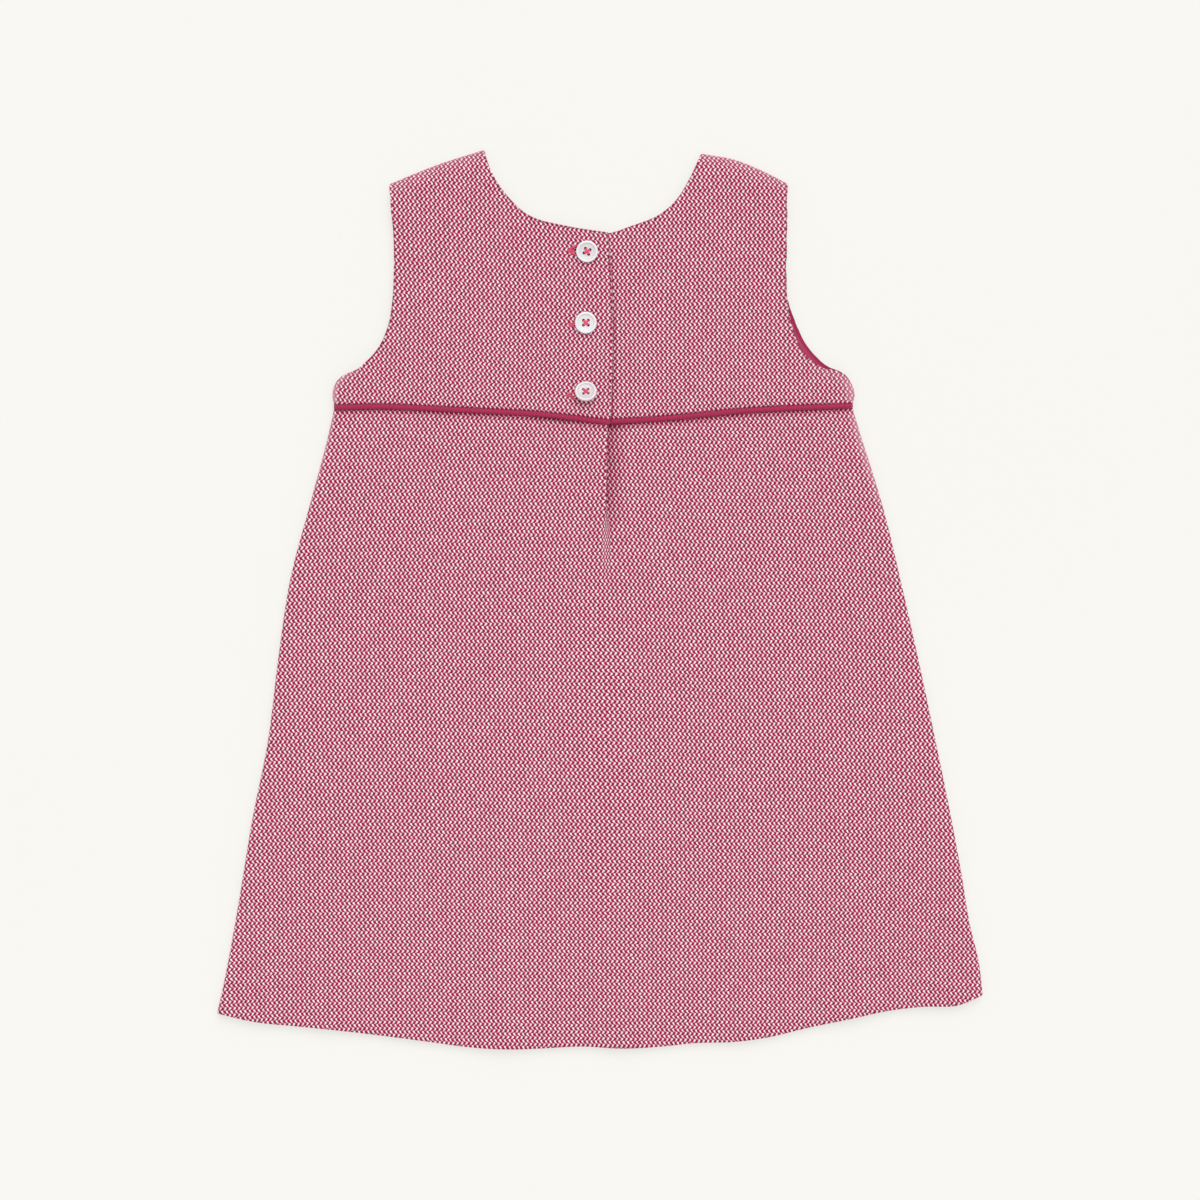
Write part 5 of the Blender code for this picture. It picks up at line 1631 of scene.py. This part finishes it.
        left_steps, under_steps, right_steps = 47, 7, 43
        left, right = [], []
        for k in range(len(rows)):
            width = last[k] - first[k]
            rims = [first[k] + width * share for share in rim_shares(width, LEFT_ROLL)]
            near = [turn_x[k] - away for away in COLUMNS_TO_FOLD]
            left.append(rims + between(rims[-1], near[0], left_steps) + near)
            rims = [last[k] - width * share for share in reversed(rim_shares(width, RIGHT_ROLL))]
            near = [fold_x[k] + away for away in COLUMNS_FROM_FOLD]
            near = between(turn_x[k] + path[k, -1, 0], near[0], under_steps) + near
            right.append(near + between(near[-1], rims[0], right_steps) + rims)
        left, right = np.array(left), np.array(right)
        inner = turn_x[:, None] + path[:, :, 0]
        x = np.concatenate([left, inner, right], axis=1)
        shares = (x - first[:, None]) / (last - first)[:, None]
        y = outline(shares, np.repeat(v[:, None], x.shape[1], axis=1))[..., 1]
        level = skirt_level(x, y)
        extra = np.zeros_like(x)
        count = left.shape[1]
        turned = count + inner.shape[1]
        extra[:, :count] = rise[:, None] * smooth_step(1 - (turn_x[:, None] - left) / PLEAT_LEFT_REACH)
        extra[:, turned:] = -sink[:, None] * smooth_step(
            1 - (right - fold_x[:, None]) / PLEAT_RIGHT_REACH)
        base = own[:, None] + (level[:, count:turned] - own[:, None]) * (1 - closed[:, None])
        height = level + extra
        height[:, count:turned] = base + rise[:, None] + path[:, :, 1]
        past = x - fold_x[:, None]
        # The shade begins on the part that comes out from under the fold.
        valley = np.arange(x.shape[1])[None, :] >= turned - FOLD_SHOWN
        shade = FOLD_SHADE * at_height(FOLD_SHADES, middle_y)[:, None] * (1 - smooth_step(past / FOLD_REACH))
        haze = at_height(FOLD_HAZES, middle_y)[:, None] * bell((past - FOLD_HAZE_X) / FOLD_HAZE_WIDTH)
        fold = Fold(count - 1, turned, np.interp(turn, *zip(*WEAVE_CHANGES)))
        made = self.finished("back_skirt_cloth", np.stack([x, y], axis=-1), height + SHELL_INSET, rows,
                             -1, np.where(valley, shade, 0.0) - haze, fold)
        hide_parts("back_skirt")
        return made

    def front(self):
        waist = level_line(WAIST_FRONT, SKIRT_LEFT[0].x, SKIRT_RIGHT[0].x, -EDGE)
        hem = level_line(HEM_FRONT, HEM_FRONT[0].x, HEM_FRONT[-1].x)
        outline = patch(curve(SKIRT_LEFT), curve(SKIRT_RIGHT), waist, hem)
        rows, steps = self.hem_rows(), 109

        def columns(width):
            rims, ends = rim_shares(width, FRONT_ROLL), end_rim_shares(width, FRONT_ROLL)
            return rims + between(rims[-1], ends[0], steps) + ends

        places = lifted(outline, columns, [row.share for row in rows], front_skirt_level, -SHELL_INSET)
        made = self.finished("front_skirt_cloth", places[..., :2], places[..., 2], rows, 1)
        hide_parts("front_skirt")
        return made

    def execute(self, context):
        for made in (self.back(), self.front()):
            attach(made, "root")
        return {"FINISHED"}


class DRESS_OT_trim(bpy.types.Operator):
    """Make the piping round the waist and the facing of the front's right armhole"""

    bl_idname = "dress.trim"
    bl_label = "Piping and Facing"

    def bent_round(self, top, inward):
        """The cord's last places at a side seam, from its top there round the side and down."""
        x, y, z = top
        places = []
        for turn in PIPING_TURNS:
            away, sink = math.cos(math.radians(turn)), 1 - math.sin(math.radians(turn))
            places.append((x - inward * PIPING_BEND * away, y, z - PIPING_BEND * sink))
        return places + [(x - inward * PIPING_BEND, y, PIPING_FOOT)]

    def route(self, table, level, start_x, end_x):
        line = level_line(table, start_x, end_x)
        flat = line(np.linspace(0.0, 1.0, round((end_x - start_x) / PIPING_STEP) + 1))
        height = level(flat[:, 0], flat[:, 1] + EDGE) + PIPING_LIFT
        return [tuple(place) for place in np.column_stack([flat, height])]

    def cord(self, name, node, route, lowest=None, shades=()):
        settings = bpy.context.scene.dress_trim
        places, radii = rounded_ends(route, PIPING_RADIUS)
        made = tube(name, places, radii, PIPING_SIDES, settings.thread / MM, plain_cloth(),
                    lowest=lowest, shades=shades)
        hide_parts(node)
        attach(made, "root")

    def facing(self):
        edge = part_of(curve(FRONT_ARMHOLE_RIGHT), FACING_FROM, FACING_TO)
        settings = bpy.context.scene.dress_trim
        t = np.linspace(0.0, 1.0, FACING_STEPS + 1)
        ahead = edge(t + NEARBY) - edge(t - NEARBY)
        inward = np.stack([-ahead[:, 1], ahead[:, 0]], axis=-1) / np.hypot(*ahead.T)[:, None]
        fullness = np.sin(math.pi * t) ** FACING_FULLNESS
        width = FACING_WIDTH * (FACING_NARROW + (1 - FACING_NARROW) * fullness)
        away = width[:, None] * np.array(FACING_SHARES) + FACING_BACK
        flat = edge(t)[:, None, :] + inward[:, None, :] * away[..., None]
        top = CLOTH + SEAM + FACING - FACING_SHELL / 2
        height = np.full(flat.shape[:2] + (1,), top)
        places = np.concatenate([flat, height], axis=-1)
        run = np.concatenate([[0.0], np.cumsum(np.hypot(*np.diff(edge(t), axis=0).T))])
        place = np.stack(np.broadcast_arrays(away * MM, run[:, None] * MM), axis=-1) / settings.thread
        # The rim where the facing rolls over gets a painted shade, and the whole facing a little haze.
        shade = FACING_SHADE * (1 - smooth_step((away - FACING_BACK) / FACING_RIM)) - FACING_HAZE
        made = panel("armhole_facing_cloth", places, place, lambda row, column: (FACING_EDGE, None), -1,
                     FACING_SHELL, plain_cloth(), shade)
        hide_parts("front_armhole_facing")
        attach(made, "root")

    def execute(self, context):
        reach = PIPING_BEND + PIPING_RADIUS - HALF_CLOTH
        left_x, right_x = WAIST_LEFT[0].x + reach, WAIST_RIGHT[-1].x - reach
        left = self.route(WAIST_LEFT, left_half_level, left_x, WAIST_LEFT[-1].x)
        right = self.route(WAIST_RIGHT, right_half_level, WAIST_RIGHT[0].x, right_x)
        under = [PIPING_LAP_DROP * bell((x - right[0][0]) / PIPING_LAP_REACH) for x, _, _ in right]
        right = [(x, y, z - drop) for (x, y, z), drop in zip(right, under)]
        left = self.bent_round(left[0], 1)[::-1] + left[1:]
        right = right[:-1] + self.bent_round(right[-1], -1)
        self.cord("back_piping_left_cord", "back_piping_left", left, shades=PIPING_SHADES)
        self.cord("back_piping_right_cord", "back_piping_right", right, shades=PIPING_SHADES)
        line = level_line(WAIST_FRONT, WAIST_FRONT[0].x + 2 * EDGE, WAIST_FRONT[-1].x - 2 * EDGE)
        flat = line(np.linspace(0.0, 1.0, FRONT_PIPING_STEPS + 1))
        front = np.column_stack([flat, np.full(len(flat), FRONT_PIPING_MIDDLE)])
        self.cord("front_piping_cord", "front_piping", front, lowest=0.0)
        self.facing()
        return {"FINISHED"}


class DRESS_OT_buttons(bpy.types.Operator):
    """Make the three buttons, the thread that holds them and their buttonholes"""

    bl_idname = "dress.buttons"
    bl_label = "Buttons and Buttonholes"

    def frame_of(self, spot):
        """How a button's own places become places on the dress."""
        reaches = (0.0, BUTTON_RADIUS) if spot.tilt else (-BUTTON_RADIUS, 0.0, BUTTON_RADIUS)
        x = np.full(len(reaches), spot.x)
        cloth = float(np.max(left_half_level(x, spot.y + np.array(reaches)))) + HALF_CLOTH
        tilt = math.radians(spot.tilt)
        foot = BUTTON_FOOT_RADIUS * math.sin(tilt)
        turned = Euler((-tilt, 0.0, math.radians(spot.turn))).to_matrix().to_4x4()
        return Matrix.Translation(Vector((spot.x, spot.y, cloth + SEAM + foot)) * MM) @ turned

    def hole_way(self, k):
        """The way from a button's middle to one of its holes."""
        turn = math.radians(45 + 90 * k)
        return np.array((math.cos(turn), math.sin(turn), 0.0))

    def holes(self):
        """One mesh of the four drills that cut the holes."""
        settings = bpy.context.scene.dress_buttons
        work = bmesh.new()
        for k in range(4):
            drill = bmesh.ops.create_cone(work, cap_ends=True, segments=HOLE_SIDES,
                                          radius1=settings.hole, radius2=settings.hole,
                                          depth=DRILL_LENGTH * MM)
            middle = settings.hole_reach * self.hole_way(k)
            bmesh.ops.translate(work, verts=drill["verts"], vec=tuple(middle))
        made = bpy.data.objects.new("drills", mesh_of("drills", work))
        bpy.context.scene.collection.objects.link(made)
        return made

    def disc(self, name, drills, place, shade):
        """A button turned from its section, with its four holes cut and its place in its mesh."""
        work = bmesh.new()
        corners = [work.verts.new((p.radius * MM, 0.0, p.height * MM)) for p in BUTTON_SECTION]
        lines = [work.edges.new(pair) for pair in zip(corners, corners[1:])]
        bmesh.ops.spin(work, geom=corners + lines, axis=(0, 0, 1), cent=(0, 0, 0), steps=BUTTON_STEPS,
                       angle=2 * math.pi, use_merge=True)
        bmesh.ops.remove_doubles(work, verts=work.verts, dist=SAME_PLACE * MM)
        bmesh.ops.recalc_face_normals(work, faces=work.faces)
        mesh = mesh_of(name, work)
        made = linked(name, mesh, pearl())
        cut = made.modifiers.new("holes", "BOOLEAN")
        cut.operation = "DIFFERENCE"
        cut.solver = "EXACT"
        cut.object = drills
        drilled = bpy.data.meshes.new_from_object(
            made.evaluated_get(bpy.context.evaluated_depsgraph_get()))
        made.modifiers.clear()
        work = bmesh.new()
        work.from_mesh(drilled)
        layer = work.loops.layers.uv.new("weave")
        # Each vertex carries the button's painted shade or painted highlight.
        dim = work.verts.layers.float.new("shade")
        for vertex in work.verts:
            vertex[dim] = shade
        for face in work.faces:
            face.smooth = True
            for loop in face.loops:
                loop[layer].uv = (loop.vert.co.x / MM, loop.vert.co.y / MM)
        for edge in work.edges:
            edge.smooth = not edge.is_manifold or edge.calc_face_angle() < math.radians(SHARP_EDGE)
        work.transform(place)
        work.to_mesh(mesh)
        work.free()
        bpy.data.meshes.remove(drilled)
        return made

    def stitches(self, name, place, arm):
        """Two crossing pairs of thread over a button's middle, from hole to hole."""
        reach = bpy.context.scene.dress_buttons.hole_reach / MM
        made = []
        for k in range(2):
            way = self.hole_way(k)
            beside = np.array((-way[1], way[0], 0.0))
            for strand, offset in enumerate((-STITCH_BESIDE, STITCH_BESIDE)):
                bends = np.linspace(0.0, math.pi, STRAND_STEPS + 1)
                rise = STITCH_FOOT + STITCH_RISES[k] * np.sin(bends) ** STITCH_FULLNESS
                rise[[0, -1]] = STITCH_SINK
                route = [way * reach * -math.cos(bend) * arm + beside * offset
                         + np.array((0.0, 0.0, high)) for bend, high in zip(bends, rise)]
                made.append(tube(f"{name}_thread_{2 * k + strand + 1}", route,
                                 np.full(len(route), STITCH_RADIUS), STRAND_SIDES, THREAD_PITCH,
                                 thread(), beside=tuple(beside)))
        # The shank goes down to the cloth under the button.
        route, radii = [(0.0, 0.0, p.height) for p in SHANK], [p.radius for p in SHANK]
        made.append(tube(f"{name}_shank", route, radii, SHANK_SIDES, THREAD_PITCH, thread()))
        for piece in made:
            piece.data.transform(place)
            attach(piece, "root")

    def buttonhole(self, name, legs):
        """The stitched point of a buttonhole and its two legs, with the dark slit between them, a painted
        shadow.
        """
        point = np.array((legs.x, legs.y))
        ends = [np.array((legs.upper_x, legs.upper_y)), np.array((legs.lower_x, legs.lower_y))]
        middle = (ends[0] + ends[1]) / 2
        edge = STITCHED_EDGE._replace(thick=legs.leg)
        lines = [(point, end, edge, edging()) for end in ends]
        slit = SLIT._replace(thick=legs.slit)
        lines += [(point, point + (middle - point) * MIDDLE_LEG_TO, edge, edging()),
                  (point + (middle - point) * SLIT_FROM, middle, slit, opening())]
        for k, (start, end, sizes, finish) in enumerate(lines):
            shares = np.linspace(0.0, 1.0, LEG_STEPS + 1)
            flat = start + (end - start) * shares[:, None]
            level = left_half_level(flat[:, 0], flat[:, 1]) + HALF_CLOTH + sizes.lift
            uneven = 1 + EDGING_UNEVENNESS * np.sin(shares * EDGING_BUMPS + LEG_SHIFT * k)
            full = smooth_step(shares * LEG_THICKENING)
            radii = (sizes.thin + (sizes.thick - sizes.thin) * full) * uneven
            made = tube(f"{name}_{k + 1}", np.column_stack([flat, level]), radii, LEG_SIDES, EDGING_PITCH,
                        finish)
            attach(made, "root")

    def execute(self, context):
        drills = self.holes()
        for k, spot in enumerate(BUTTONS):
            place = self.frame_of(spot)
            made = self.disc(f"button_{k + 1}_pearl", drills, place, spot.shade)
            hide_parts(f"button_{k + 1}")
            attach(made, "root")
            self.stitches(f"button_{k + 1}", place, spot.arm)
            self.buttonhole(f"buttonhole_{k + 1}", BUTTONHOLES[k])
        bpy.data.objects.remove(drills)
        return {"FINISHED"}


class DRESS_PT_pieces(bpy.types.Panel):
    """Lists what the script can make, with its sizes and colours"""

    bl_label = "Pinafore Dress"
    bl_idname = "DRESS_PT_pieces"
    bl_space_type = "VIEW_3D"
    bl_region_type = "UI"
    bl_category = "Dress"

    def draw(self, context):
        for kind in OPERATORS:
            self.layout.operator(kind.bl_idname)
        for group, kind in SETTINGS:
            box = self.layout.box()
            for name in kind.__annotations__:
                box.prop(getattr(context.scene, group), name)


OPERATORS = (DRESS_OT_stage, DRESS_OT_bodice, DRESS_OT_skirt, DRESS_OT_trim, DRESS_OT_buttons)
SETTINGS = (
    ("dress_cloth", DressClothSettings),
    ("dress_trim", DressTrimSettings),
    ("dress_buttons", DressButtonSettings),
    ("dress_stage", DressStageSettings),
)


def register():
    for name, kind in SETTINGS:
        bpy.utils.register_class(kind)
        setattr(bpy.types.Scene, name, PointerProperty(type=kind))
    for kind in OPERATORS + (DRESS_PT_pieces,):
        bpy.utils.register_class(kind)


def unregister():
    for kind in reversed(OPERATORS + (DRESS_PT_pieces,)):
        bpy.utils.unregister_class(kind)
    for name, kind in reversed(SETTINGS):
        delattr(bpy.types.Scene, name)
        bpy.utils.unregister_class(kind)


def main():
    register()
    bpy.ops.dress.stage()
    bpy.ops.dress.bodice()
    bpy.ops.dress.skirt()
    bpy.ops.dress.trim()
    bpy.ops.dress.buttons()


if __name__ == "__main__":
    main()
